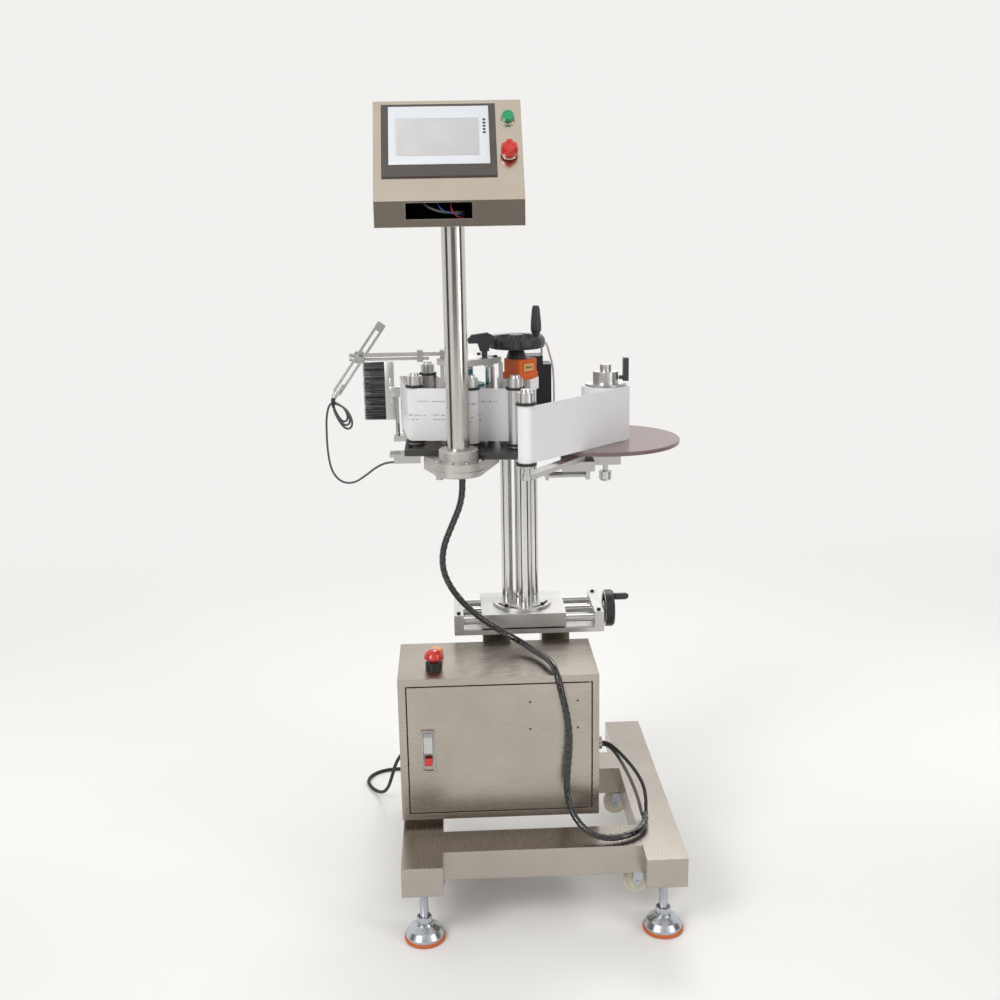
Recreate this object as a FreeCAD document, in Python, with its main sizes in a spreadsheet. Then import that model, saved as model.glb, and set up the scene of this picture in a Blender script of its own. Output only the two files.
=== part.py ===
import FreeCAD, Part
import math
import os
import Sketcher
from FreeCAD import Placement, Rotation, Vector

# Box labelling machine. Lengths in mm, angles in degrees, +Z up, the front faces -Y.
# Places count from the middle of the base on the floor. origin_shift then moves every
# sub-part along X, so that the origin lies under the middle of the whole machine.

SIZES = {
    "origin_shift": 44.8395,
    "running_gap": 0.2,
    "shaft_gap": 0.05,
    # Base frame
    "frame_width": 550,
    "frame_depth": 630,
    "frame_bottom": 114,
    "tube_width": 80,
    "tube_height": 60,
    "tube_wall": 3,
    "front_tube_inset": 96,
    "rear_tube_y": 112,
    "post_side": 60,
    "post_height": 330.5,
    "left_post_x": -71,
    "right_post_x": 56,
    "lug_width": 40,
    "lug_height": 50,
    "lug_rise": 226,
    # Levelling feet
    "foot_inset": 40,
    "stud_radius": 8,
    "nut_across": 26,
    "nut_height": 13,
    "foot_radius": 39,
    "pad_radius": 40,
    "pad_height": 8,
    "cup_height": 28,
    "stud_rise": 36,
    # Casters
    "caster_x": 210,
    "rear_caster_y": 100,
    "caster_plate": 60,
    "caster_plate_thick": 3,
    "king_pin_radius": 5,
    "swivel_radius": 24,
    "swivel_height": 4.8,
    "caster_trail": 20,
    "wheel_radius": 26,
    "wheel_width": 22,
    "fork_gap": 1.5,
    "fork_thick": 3,
    "hub_height": 78,
    "axle_radius": 4,
    # Control cabinet
    "cabinet_width": 400,
    "cabinet_depth": 200,
    "cabinet_height": 304,
    "cabinet_left": -277,
    "cabinet_front": -149,
    "cabinet_strip": 12,
    "cabinet_wall": 2,
    "door_left_margin": 15,
    "door_right_margin": 13,
    "door_top_margin": 15,
    "door_bottom_margin": 13,
    "door_gap": 2.5,
    "door_thick": 18,
    "hinge_pin_radius": 2,
    "hinge_pin_length": 10,
    "lock_width": 26,
    "lock_height": 90,
    "lock_left": 44,
    "lock_bottom": 106,
    "lock_proud": 4,
    "button_height": 18,
    "gear_plate_gap": 5,
    "gear_plate_thick": 3,
    "stop_x": -205,
    "stop_y": -84,
    "stop_collar_height": 12,
    "stop_collar_radius": 17,
    "stop_travel": 6,
    "stop_stem_radius": 8,
    "stop_cap_radius": 19.5,
    "lamp_x": -200,
    "lamp_y": -28,
    "lamp_radius": 14,
    "lamp_height": 20,
    # Cross slide
    "slide_left": -162,
    "slide_length": 320,
    "slide_depth": 150,
    "slide_y": 128,
    "slide_plate": 10,
    "slide_block": 20,
    "slide_height": 34,
    "carriage_lift": 4,
    "carriage_left": -103,
    "carriage_length": 180,
    "guide_radius": 8,
    "guide_edge_wall": 7,
    "slide_axis_rise": 16.5,
    "screw_radius": 8,
    "wheel_gap": 8,
    "slide_wheel_radius": 40,
    "slide_wheel_thick": 21,
    "slide_crank": 26,
    "slide_grip_radius": 7.5,
    "slide_grip_length": 33,
    # Tower
    "disc_x": -13,
    "disc_radius": 63,
    "disc_thick": 6,
    "slot_radius": 53,
    "slot_width": 7,
    "column_radius": 12.5,
    "column_height": 465.5,
    "left_column_x": -43,
    "left_column_y": 139.5,
    "front_column_x": -8,
    "front_column_y": 96.4,
    "right_column_x": 12,
    "right_column_y": 148,
    "lift_x": -18,
    "cap_height": 25,
    "cap_margin": 4,
    "boss_radius": 13,
    "boss_height": 20,
    "dial_x": -10,
    "dial_side": 50,
    "dial_base": 11,
    "dial_height": 28,
    "dial_turn": 40,
    "lift_hub_height": 22,
    "lift_wheel_radius": 60,
    "lift_wheel_thick": 27,
    "lift_grip_x": 40,
    "lift_grip_y": -20,
    "lift_grip_radius": 11,
    "lift_grip_length": 60,
    # Label head
    "plate_bottom": 908.5,
    "plate_thick": 12,
    "column_clearance": 1.5,
    "axle_pin_radius": 5,
    "block_height": 28.5,
    "post_x": -144,
    "post_y": -50,
    "post_radius": 22.5,
    "post_wall": 2,
    "post_top": 1358.5,
    "collar_radius": 39,
    "collar_height": 23.5,
    "flange_radius": 50.5,
    "flange_height": 27.5,
    # Rollers and web
    "roller_radius": 15,
    "roller_gap": 0.5,
    "ring_radius": 19,
    "ring_thick": 5,
    "web_bottom": 931,
    "web_width": 108,
    "web_thick": 0.4,
    "web_gap": 0.3,
    "roller_top_gap": 18,
    "roller_cap_height": 6,
    "roller_a_x": -229,
    "roller_a_y": 60,
    "roller_b_x": -205,
    "roller_b_y": 236,
    "roller_c_x": -117,
    "roller_c_y": 11,
    "roller_d_x": -28,
    "roller_d_y": -3,
    "dancer_x": -19,
    "dancer_y": -190,
    "dancer_pivot_x": 95,
    "dancer_pivot_y": -31,
    "arm_thick": 10,
    "arm_width": 22,
    "pivot_radius": 6,
    "unwind_x": 156,
    "unwind_y": 30,
    "unwind_disc_radius": 150,
    "unwind_disc_thick": 8,
    "unwind_gap": 2,
    "roll_radius": 48.5,
    "core_radius": 38,
    "unwind_shaft_radius": 11.5,
    "clamp_disc_radius": 41.5,
    "clamp_hub_radius": 25.5,
    "clamp_hub_height": 24,
    "unwind_top": 1081,
    "brake_shaft_radius": 5.5,
    "brake_knob_radius": 13,
    "brake_knob_height": 19,
    "brake_shaft_length": 18,
    "drive_x": -118,
    "drive_y": 70,
    "drive_radius": 32,
    "pinch_x": -75.5,
    "pinch_y": 78,
    "pinch_radius": 9.5,
    "bridge_bottom": 1085,
    "bridge_thick": 12,
    "bridge_length": 110,
    "bridge_width": 75,
    "bridge_turn": 35,
    "bridge_x": -117.5,
    "bridge_y": 51,
    "bar_thick": 8,
    "bar_width": 20,
    "peel_foot_x": -245.3,
    "peel_foot_y": 84,
    "peel_tip_x": -262,
    "peel_tip_y": 222,
    "peel_thick": 3,
    "peel_top": 1040,
    # Brush and sensors
    "brush_rod_x": -274,
    "brush_rod_y": 232,
    "brush_rod_radius": 4.5,
    "brush_bottom": 941,
    "brush_height": 127,
    "bristle_length": 46,
    "bristle_thick": 14,
    "sensor_rod_y": 60,
    "sensor_rod_z": 1106,
    "sensor_rod_radius": 4,
    "second_rod_drop": 9,
    "second_rod_radius": 3,
    "sensor_pivot_x": -337,
    "sensor_tilt": 35.2,
    "sensor_bar_length": 168,
    "sensor_bar_width": 18,
    "sensor_bar_thick": 3,
    "sensor_radius": 5.5,
    # Operator console
    "console_width": 274,
    "console_left": -286,
    "console_front": -135,
    "console_lower": 46.5,
    "console_lean": 33,
    "console_slant": 214.3,
    "console_back": 15,
    "console_wall": 2,
    "panel_left": 15,
    "panel_width": 211,
    "panel_low": 49,
    "panel_height": 155,
    "panel_proud": 4,
    "button_inset": 25,
    "start_slant": 173,
    "start_radius": 11,
    "stop_slant": 97,
    "stop_radius": 16,
    "console_stem_radius": 8,
    "console_collar_radius": 14,
    # Cords
    "harness_radius": 9,
    "tail_radius": 3.5,
    "sensor_cable_radius": 2.2,
    "spare_loop_radius": 5,
    "power_radius": 4,
    "power_coil_mean": 90,
}

doc = FreeCAD.newDocument("box_labelling_machine")
sheet = doc.addObject("Spreadsheet::Sheet", "Sizes")
for row, (alias, number) in enumerate(SIZES.items(), start=1):
    sheet.set(f"A{row}", alias)
    sheet.set(f"B{row}", str(number))
    sheet.setAlias(f"B{row}", alias)
doc.recompute()


class Size:
    """A length with the sheet formula that gives it."""

    def __init__(self, value, text=None):
        self.value = float(value)
        self.text = text or repr(float(value))

    def __float__(self):
        return self.value

    def __add__(self, other):
        other = as_size(other)
        return Size(self.value + other.value, f"({self.text} + {other.text})")

    def __sub__(self, other):
        other = as_size(other)
        return Size(self.value - other.value, f"({self.text} - {other.text})")

    def __mul__(self, other):
        other = as_size(other)
        return Size(self.value * other.value, f"({self.text} * {other.text})")

    def __truediv__(self, other):
        other = as_size(other)
        return Size(self.value / other.value, f"({self.text} / {other.text})")

    def __radd__(self, other):
        return as_size(other) + self

    def __rsub__(self, other):
        return as_size(other) - self

    def __rmul__(self, other):
        return as_size(other) * self

    def __neg__(self):
        return Size(-self.value, f"(0 - {self.text})")


def as_size(value):
    return value if isinstance(value, Size) else Size(value)


def sine(angle):
    return Size(math.sin(math.radians(float(angle))), f"sin({as_size(angle).text})")


def cosine(angle):
    return Size(math.cos(math.radians(float(angle))), f"cos({as_size(angle).text})")


class Sizes:
    """Every cell of the sheet by its alias."""

    def __getattr__(self, alias):
        return Size(sheet.get(alias), f"Sizes.{alias}")


d = Sizes()
nodes = []

# Building blocks shared by the sub-parts

TURNS = {
    "x": Rotation(Vector(0, 1, 0), 90),
    "y": Rotation(Vector(1, 0, 0), -90),
    "z": Rotation(),
}


def bind(item, prop, value):
    item.setExpression(prop, as_size(value).text)


def put(item, x=0, y=0, z=0, turn=None):
    item.Placement = Placement(Vector(float(x), float(y), float(z)), turn or Rotation())
    for letter, value in zip("xyz", (x, y, z)):
        bind(item, f"Placement.Base.{letter}", value)
    return item


def box(name, x, y, z, length, width, height, turn=None):
    """A block from its low corner."""
    item = doc.addObject("Part::Box", name)
    bind(item, "Length", length)
    bind(item, "Width", width)
    bind(item, "Height", height)
    return put(item, x, y, z, turn)


def rod(name, x, y, z, radius, length, axis="z"):
    item = doc.addObject("Part::Cylinder", name)
    bind(item, "Radius", radius)
    bind(item, "Height", length)
    turn = TURNS[axis] if isinstance(axis, str) else axis
    return put(item, x, y, z, turn)


def hexagon(name, x, y, z, across, height):
    item = doc.addObject("Part::Prism", name)
    item.Polygon = 6
    bind(item, "Circumradius", across / math.sqrt(3))
    bind(item, "Height", height)
    return put(item, x, y, z)


def group(name, items):
    item = doc.addObject("Part::Compound", name)
    item.Links = items
    return item


def join(name, items):
    item = doc.addObject("Part::MultiFuse", name)
    item.Shapes = items
    return item


def cut(name, base, tools):
    for count, tool in enumerate(tools, start=1):
        item = doc.addObject("Part::Cut", f"{name}_{count}")
        item.Base = base
        item.Tool = tool
        base = item
    return base


def node(name, item, x=0, y=0, z=0):
    """Registers a sub-part and moves it to the machine's origin."""
    item.Label = name
    for letter, value in zip("xyz", (d.origin_shift + x, y, z)):
        bind(item, f"Placement.Base.{letter}", value)
    nodes.append(item)
    return item


def new_body(name):
    return doc.addObject("PartDesign::Body", name)


def new_sketch(body, name, role="XY_Plane", offset=0):
    item = body.newObject("Sketcher::SketchObject", name)
    plane = next(feature for feature in body.Origin.OriginFeatures if feature.Role == role)
    item.AttachmentSupport = [(plane, "")]
    item.MapMode = "FlatFace"
    bind(item, "AttachmentOffset.Base.z", offset)
    return item


def pin_point(sketch, shape, place, x, y):
    for kind, value in (("DistanceX", x), ("DistanceY", y)):
        row = sketch.addConstraint(Sketcher.Constraint(kind, shape, place, float(value)))
        bind(sketch, f"Constraints[{row}]", value)


def draw_polygon(sketch, points):
    first = sketch.GeometryCount
    count = len(points)
    for (x0, y0), (x1, y1) in zip(points, points[1:] + points[:1]):
        start = Vector(float(x0), float(y0), 0)
        end = Vector(float(x1), float(y1), 0)
        sketch.addGeometry(Part.LineSegment(start, end), False)
    for step in range(count):
        after = first + (step + 1) % count
        sketch.addConstraint(Sketcher.Constraint("Coincident", first + step, 2, after, 1))
    for step, (x, y) in enumerate(points):
        pin_point(sketch, first + step, 1, x, y)


def draw_circle(sketch, x, y, radius):
    centre = Vector(float(x), float(y), 0)
    shape = sketch.addGeometry(Part.Circle(centre, Vector(0, 0, 1), float(radius)), False)
    pin_point(sketch, shape, 3, x, y)
    row = sketch.addConstraint(Sketcher.Constraint("Radius", shape, float(radius)))
    bind(sketch, f"Constraints[{row}]", radius)


def draw_rectangle(sketch, x, y, width, height):
    draw_polygon(sketch, [(x, y), (x + width, y), (x + width, y + height), (x, y + height)])


def pad(body, sketch, length, midplane=False):
    item = body.newObject("PartDesign::Pad", sketch.Name + "_pad")
    item.Profile = sketch
    item.Midplane = midplane
    bind(item, "Length", length)
    return item


def pocket(body, sketch, length, midplane=True):
    """Cuts a sketch into the body, both ways from its plane."""
    doc.recompute()
    before = body.Shape.Volume
    item = body.newObject("PartDesign::Pocket", sketch.Name + "_pocket")
    item.Profile = sketch
    item.Midplane = midplane
    bind(item, "Length", length)
    doc.recompute()
    if not body.Shape.Volume < before:
        raise ValueError(f"{item.Name} cuts nothing")
    return item


def revolve(body, sketch):
    item = body.newObject("PartDesign::Revolution", sketch.Name + "_turned")
    item.Profile = sketch
    item.ReferenceAxis = (sketch, ["V_Axis"])
    item.Angle = 360
    return item


def lathe(name, profile, x=0, y=0, z=0, turn=None):
    """A turned piece from points (radius, height) about its own axis."""
    body = new_body(name)
    sketch = new_sketch(body, name + "_profile", "XZ_Plane")
    draw_polygon(sketch, profile)
    revolve(body, sketch)
    return put(body, x, y, z, turn)


def slab(name, points, bottom, thick, holes=(), role="XY_Plane"):
    """A plate from its outline, with round holes (x, y, radius)."""
    body = new_body(name)
    sketch = new_sketch(body, name + "_outline", role, bottom)
    draw_polygon(sketch, points)
    for x, y, radius in holes:
        draw_circle(sketch, x, y, radius)
    pad(body, sketch, thick)
    return body


def round_corners(body, radius, axis="z", pick=None):
    """Fillets the straight edges that run along one axis."""
    doc.recompute()
    base = body.Tip
    letter = "xyz".index(axis)
    names = []
    for number, edge in enumerate(base.Shape.Edges, start=1):
        if len(edge.Vertexes) != 2 or not isinstance(edge.Curve, Part.Line):
            continue
        span = edge.Vertexes[1].Point - edge.Vertexes[0].Point
        if abs(abs(span[letter]) - span.Length) > 1e-6:
            continue
        if pick and not pick(edge.CenterOfMass):
            continue
        names.append(f"Edge{number}")
    item = body.newObject("PartDesign::Fillet", body.Name + "_rounding")
    item.Base = (base, names)
    bind(item, "Radius", radius)
    return item


# Heights and places that several sub-parts share

frame_top = d.frame_bottom + d.tube_height
slide_floor = frame_top + d.post_height
slide_top = slide_floor + d.slide_plate + d.slide_height
slide_axis = slide_floor + d.slide_plate + d.slide_axis_rise
slide_right = d.slide_left + d.slide_length
slide_front = d.slide_y - d.slide_depth / 2
guide_offset = d.slide_depth / 2 - d.guide_edge_wall - d.guide_radius
screw_bore = d.screw_radius + d.shaft_gap
disc_bottom = slide_top + d.running_gap
disc_top = disc_bottom + d.disc_thick
column_top = disc_top + d.column_height
cap_top = column_top + d.cap_height
dial_top = cap_top + d.dial_base + d.dial_height
plate_top = d.plate_bottom + d.plate_thick
web_top = d.web_bottom + d.web_width
roller_bottom = plate_top + d.roller_gap
roller_top = web_top + d.ring_thick + d.roller_top_gap
cabinet_bottom = frame_top + d.cabinet_strip
cabinet_top = cabinet_bottom + d.cabinet_height
cabinet_right = d.cabinet_left + d.cabinet_width
cabinet_back = d.cabinet_front + d.cabinet_depth
rail_inner = d.frame_width / 2 - d.tube_width
front_tube_y = d.front_tube_inset - d.frame_depth / 2
foot_x = d.frame_width / 2 - d.foot_inset
foot_y = d.frame_depth / 2 - d.foot_inset
columns = [
    ("left", d.left_column_x, d.left_column_y),
    ("front", d.front_column_x, d.front_column_y),
    ("right", d.right_column_x, d.right_column_y),
]


# Base frame: welded tubes, posts, cabinet lugs and caster plates

def hollow_tube(name, x, y, z, length, width, height, along, capped):
    """A square tube along one axis, its ends closed where it is capped."""
    sizes = [length, width, height]
    start = [x, y, z]
    inner_start = [place + d.tube_wall for place in start]
    inner_sizes = [size - 2 * d.tube_wall for size in sizes]
    if not capped:
        inner_start[along] = start[along]
        inner_sizes[along] = sizes[along]
    outer = box(name + "_outside", *start, *sizes)
    inner = box(name + "_inside", *inner_start, *inner_sizes)
    return cut(name, outer, [inner])


def caster_places():
    """Name, place and heading of each caster's trail."""
    side = d.caster_x
    return [
        ("front_left", -side, front_tube_y, 90),
        ("front_right", side, front_tube_y, 180),
        ("rear_left", -side, d.rear_caster_y, 70),
        ("rear_right", side, d.rear_caster_y, 180),
    ]


def base_frame():
    pieces = []
    back = -d.frame_depth / 2
    for name, x, side in (("left", -rail_inner - d.tube_width, -1), ("right", rail_inner, 1)):
        rail = hollow_tube(name + "_rail", x, back, d.frame_bottom, d.tube_width,
                           d.frame_depth, d.tube_height, 1, True)
        holes = []
        for end in (-1, 1):
            holes.append(rod(f"{name}_stud_hole_{end + 1}", side * foot_x, end * foot_y,
                             d.frame_bottom, d.stud_radius + 0.5, d.tube_wall))
        pieces.append(cut(name + "_rail_drilled", rail, holes))
    for name, y in (("front", front_tube_y), ("rear", d.rear_tube_y)):
        pieces.append(hollow_tube(name + "_tube", -rail_inner, y - d.tube_width / 2,
                                  d.frame_bottom, 2 * rail_inner, d.tube_width,
                                  d.tube_height, 0, False))
    for name, x in (("left", d.left_post_x), ("right", d.right_post_x)):
        post_front = d.rear_tube_y - d.post_side / 2
        pieces.append(hollow_tube(name + "_post", x - d.post_side / 2, post_front, frame_top,
                                  d.post_side, d.post_side, d.post_height, 2, False))
        pieces.append(box(name + "_lug", x - d.lug_width / 2, cabinet_back,
                          frame_top + d.lug_rise, d.lug_width, post_front - cabinet_back,
                          d.lug_height))
    for name, x, y, heading in caster_places():
        plate_z = d.frame_bottom - d.caster_plate_thick
        plate = box(name + "_plate", x - d.caster_plate / 2, y - d.caster_plate / 2, plate_z,
                    d.caster_plate, d.caster_plate, d.caster_plate_thick)
        pin = rod(name + "_king_pin", x, y, plate_z - d.swivel_height, d.king_pin_radius,
                  d.swivel_height + 1)
        pieces.append(join(name + "_caster_plate", [plate, pin]))
    node("base_frame", group("base_frame", pieces))


# Levelling feet: domed cup, stud, two nuts and a rubber pad each

def levelling_feet():
    metal = []
    pads = []
    cup_top = d.pad_height + d.cup_height
    bore = d.stud_radius + d.shaft_gap
    for count, (side, end) in enumerate(((-1, -1), (1, -1), (-1, 1), (1, 1)), start=1):
        x = side * foot_x
        y = end * foot_y
        metal.append(lathe(f"foot_cup_{count}", [
            (Size(0), d.pad_height),
            (d.foot_radius - 1, d.pad_height),
            (d.foot_radius - 1, d.pad_height + 5),
            (d.foot_radius * 0.8, d.pad_height + 15),
            (d.foot_radius * 0.45, cup_top - 4),
            (d.foot_radius * 0.4, cup_top),
            (Size(0), cup_top),
        ], x, y))
        metal.append(rod(f"stud_{count}", x, y, cup_top, d.stud_radius,
                         d.frame_bottom + d.stud_rise - cup_top))
        for name, z in (("low", cup_top), ("high", d.frame_bottom - d.nut_height)):
            nut = hexagon(f"{name}_nut_{count}", x, y, z, d.nut_across, d.nut_height)
            hole = rod(f"{name}_nut_bore_{count}", x, y, z, bore, d.nut_height)
            metal.append(cut(f"{name}_nut_ring_{count}", nut, [hole]))
        pads.append(lathe(f"foot_pad_{count}", [
            (Size(0), Size(0)),
            (d.pad_radius - 2, Size(0)),
            (d.pad_radius, Size(2)),
            (d.pad_radius, d.pad_height - 1),
            (d.pad_radius - 1, d.pad_height),
            (Size(0), d.pad_height),
        ], x, y))
    node("levelling_feet", group("levelling_feet", metal + pads))


# Swivel casters: a pressed fork under a swivel ring, and a nylon wheel on its axle

def caster(name, x, y, heading):
    ring_top = d.frame_bottom - d.caster_plate_thick - d.running_gap
    ring_bottom = ring_top - d.swivel_height
    inside = d.wheel_width + 2 * d.fork_gap
    outside = inside + 2 * d.fork_thick
    trail = d.caster_trail
    fork = new_body("fork_" + name)
    legs = new_sketch(fork, f"legs_{name}", "XZ_Plane")
    draw_polygon(legs, [
        (-d.swivel_radius * 0.6, ring_bottom),
        (trail - 9, d.hub_height + 4),
        (trail - 6, d.hub_height - 8),
        (trail + 6, d.hub_height - 8),
        (trail + 9, d.hub_height + 4),
        (d.swivel_radius + 4, ring_bottom),
    ])
    pad(fork, legs, outside, True)
    space = new_sketch(fork, f"space_{name}", "XZ_Plane")
    draw_rectangle(space, -d.swivel_radius, d.hub_height - 10, 3 * d.swivel_radius,
                   ring_bottom - d.hub_height + 9.99)
    pocket(fork, space, inside)
    ring = new_sketch(fork, f"ring_{name}", "XY_Plane", ring_bottom - 0.01)
    draw_circle(ring, Size(0), Size(0), d.swivel_radius)
    pad(fork, ring, d.swivel_height + 0.01)
    axle = new_sketch(fork, f"axle_{name}", "XZ_Plane")
    draw_circle(axle, trail, d.hub_height, d.axle_radius)
    pad(fork, axle, outside + 4, True)
    bore = new_sketch(fork, f"bore_{name}", "XY_Plane", ring_top)
    draw_circle(bore, Size(0), Size(0), d.king_pin_radius + d.shaft_gap)
    pocket(fork, bore, 4 * d.swivel_height)
    put(fork, turn=Rotation(Vector(0, 0, 1), heading))
    node("caster_fork_" + name, fork, x, y)
    half = d.wheel_width / 2
    bore_radius = d.axle_radius + d.shaft_gap
    wheel = lathe("wheel_" + name, [
        (bore_radius, -half),
        (d.axle_radius + 5, -half),
        (d.axle_radius + 6, 3 - half),
        (d.wheel_radius - 6, 3 - half),
        (d.wheel_radius - 5, -half + 1),
        (d.wheel_radius - 2, -half + 1),
        (d.wheel_radius, 4 - half),
        (d.wheel_radius, half - 4),
        (d.wheel_radius - 2, half - 1),
        (d.wheel_radius - 5, half - 1),
        (d.wheel_radius - 6, half - 3),
        (d.axle_radius + 6, half - 3),
        (d.axle_radius + 5, half),
        (bore_radius, half),
    ])
    turn = Rotation(Vector(0, 0, 1), heading) * TURNS["y"]
    put(wheel, turn=turn)
    node("caster_wheel_" + name, wheel, x + trail * cosine(heading), y + trail * sine(heading),
         d.hub_height)


# Control cabinet: welded shell, inner gear, lid fittings, door, lock

door_left = d.cabinet_left + d.door_left_margin
door_right = cabinet_right - d.door_right_margin
door_bottom = cabinet_bottom + d.door_bottom_margin
door_top = cabinet_top - d.door_top_margin
leaf_left = door_left + d.door_gap
leaf_right = door_right - d.door_gap
leaf_bottom = door_bottom + d.door_gap
leaf_top = door_top - d.door_gap
pivot_x = leaf_right - d.hinge_pin_radius - 1.5
pivot_y = d.cabinet_front + d.hinge_pin_radius + 1.5
lid_hole = d.stop_stem_radius + 0.5


def cabinet_body():
    wall = d.cabinet_wall
    outer = box("cabinet_outside", d.cabinet_left, d.cabinet_front, cabinet_bottom,
                d.cabinet_width, d.cabinet_depth, d.cabinet_height)
    inner = box("cabinet_inside", d.cabinet_left + wall, d.cabinet_front + wall,
                cabinet_bottom + wall, d.cabinet_width - 2 * wall, d.cabinet_depth - 2 * wall,
                d.cabinet_height - 2 * wall)
    door_way = box("door_way", door_left, d.cabinet_front - 1, door_bottom,
                   door_right - door_left, wall + 2, door_top - door_bottom)
    shell = cut("cabinet_shell", outer, [inner, door_way])
    pieces = [shell]
    for name, y in (("front", d.cabinet_front + 20), ("rear", cabinet_back - 50)):
        pieces.append(box(name + "_strip", d.cabinet_left + 3, y, frame_top,
                          d.tube_width - 2, Size(30), d.cabinet_strip))
    ears = []
    for name, z in (("low", door_bottom - 10), ("high", door_top)):
        ears.append(box(name + "_hinge_ear", pivot_x - 6, d.cabinet_front + wall, z,
                        Size(12), Size(10), Size(10)))
    glands = [
        rod("harness_gland", cabinet_right, Size(-60), Size(300), Size(13), Size(16), "x"),
        rod("power_gland", Size(-240), cabinet_back, Size(230), Size(9), Size(18), "y"),
    ]
    shell = join("cabinet_welded", pieces + ears + glands)
    pins = []
    for name, z in (("low", door_bottom - 9), ("high", door_top - 1)):
        pins.append(rod(name + "_pin_way", pivot_x, pivot_y, z,
                        d.hinge_pin_radius + d.shaft_gap, Size(10)))
    node("cabinet_body", cut("cabinet_body", shell, pins))


def control_gear():
    back = cabinet_back - d.cabinet_wall - d.gear_plate_gap
    face = back - d.gear_plate_thick
    left = d.cabinet_left + 27
    bottom = cabinet_bottom + 24
    pieces = [box("mounting_plate", left, face, bottom, d.cabinet_width - 54,
                  d.gear_plate_thick, d.cabinet_height - 44)]
    for side in (0, 1):
        for row in (0, 1):
            pieces.append(rod(f"spacer_{side}_{row}", left + 20 + side * (d.cabinet_width - 94),
                              back, bottom + 20 + row * (d.cabinet_height - 84), Size(5),
                              d.gear_plate_gap, "y"))
    across = d.cabinet_width / 400
    upright = d.cabinet_height / 304
    modules = [
        ("power_supply", 12, 125, 60, 100, 95),
        ("controller", 80, 125, 90, 100, 75),
        ("motor_driver", 180, 118, 55, 115, 90),
        ("fuse_row", 245, 140, 80, 85, 60),
        ("terminal_row", 12, 40, 310, 45, 45),
    ]
    for name, x, z, width, height, depth in modules:
        pieces.append(box(name, left + x * across, face - depth, bottom + z * upright,
                          width * across, Size(depth), height * upright))
    node("control_gear", group("control_gear", pieces))


def lid_fittings():
    stem_way = d.stop_stem_radius + d.shaft_gap
    collar = lathe("stop_collar", [
        (stem_way, Size(0)),
        (d.stop_collar_radius, Size(0)),
        (d.stop_collar_radius, d.stop_collar_height - 2),
        (d.stop_collar_radius - 2, d.stop_collar_height),
        (stem_way, d.stop_collar_height),
    ], d.stop_x, d.stop_y, cabinet_top)
    lamp = lathe("pilot_lamp", [
        (Size(0), Size(0)),
        (d.lamp_radius + 2, Size(0)),
        (d.lamp_radius + 2, Size(3)),
        (d.lamp_radius, Size(4)),
        (d.lamp_radius, d.lamp_height - 5),
        (d.lamp_radius * 0.75, d.lamp_height - 1),
        (Size(0), d.lamp_height),
    ], d.lamp_x, d.lamp_y, cabinet_top)
    under = cabinet_top - d.cabinet_wall
    contacts = [
        box("stop_contacts", d.stop_x - 14, d.stop_y - 19, under - 40, Size(28), Size(38),
            Size(40)),
        box("lamp_holder", d.lamp_x - 14, d.lamp_y - 14, under - 40, Size(28), Size(28),
            Size(40)),
    ]
    node("lid_switch_bodies", group("lid_switch_bodies", [collar, lamp] + contacts))
    rise = d.stop_travel + 0.3
    skirt = d.stop_collar_height - rise + d.stop_travel + 1.3
    cap = lathe("stop_mushroom", [
        (Size(0), Size(0)),
        (d.stop_stem_radius, Size(0)),
        (d.stop_stem_radius, skirt),
        (d.stop_cap_radius, skirt + 1),
        (d.stop_cap_radius, skirt + 6),
        (d.stop_cap_radius * 0.85, skirt + 12),
        (d.stop_cap_radius * 0.5, skirt + 17),
        (Size(0), skirt + 19),
    ])
    node("estop_mushroom", cap, d.stop_x, d.stop_y, cabinet_top + rise)


lock_x = d.cabinet_left + d.lock_left
lock_z = cabinet_bottom + d.lock_bottom
lock_face = d.cabinet_front - d.lock_proud
handle_bottom = lock_z + d.button_height + 20


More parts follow.
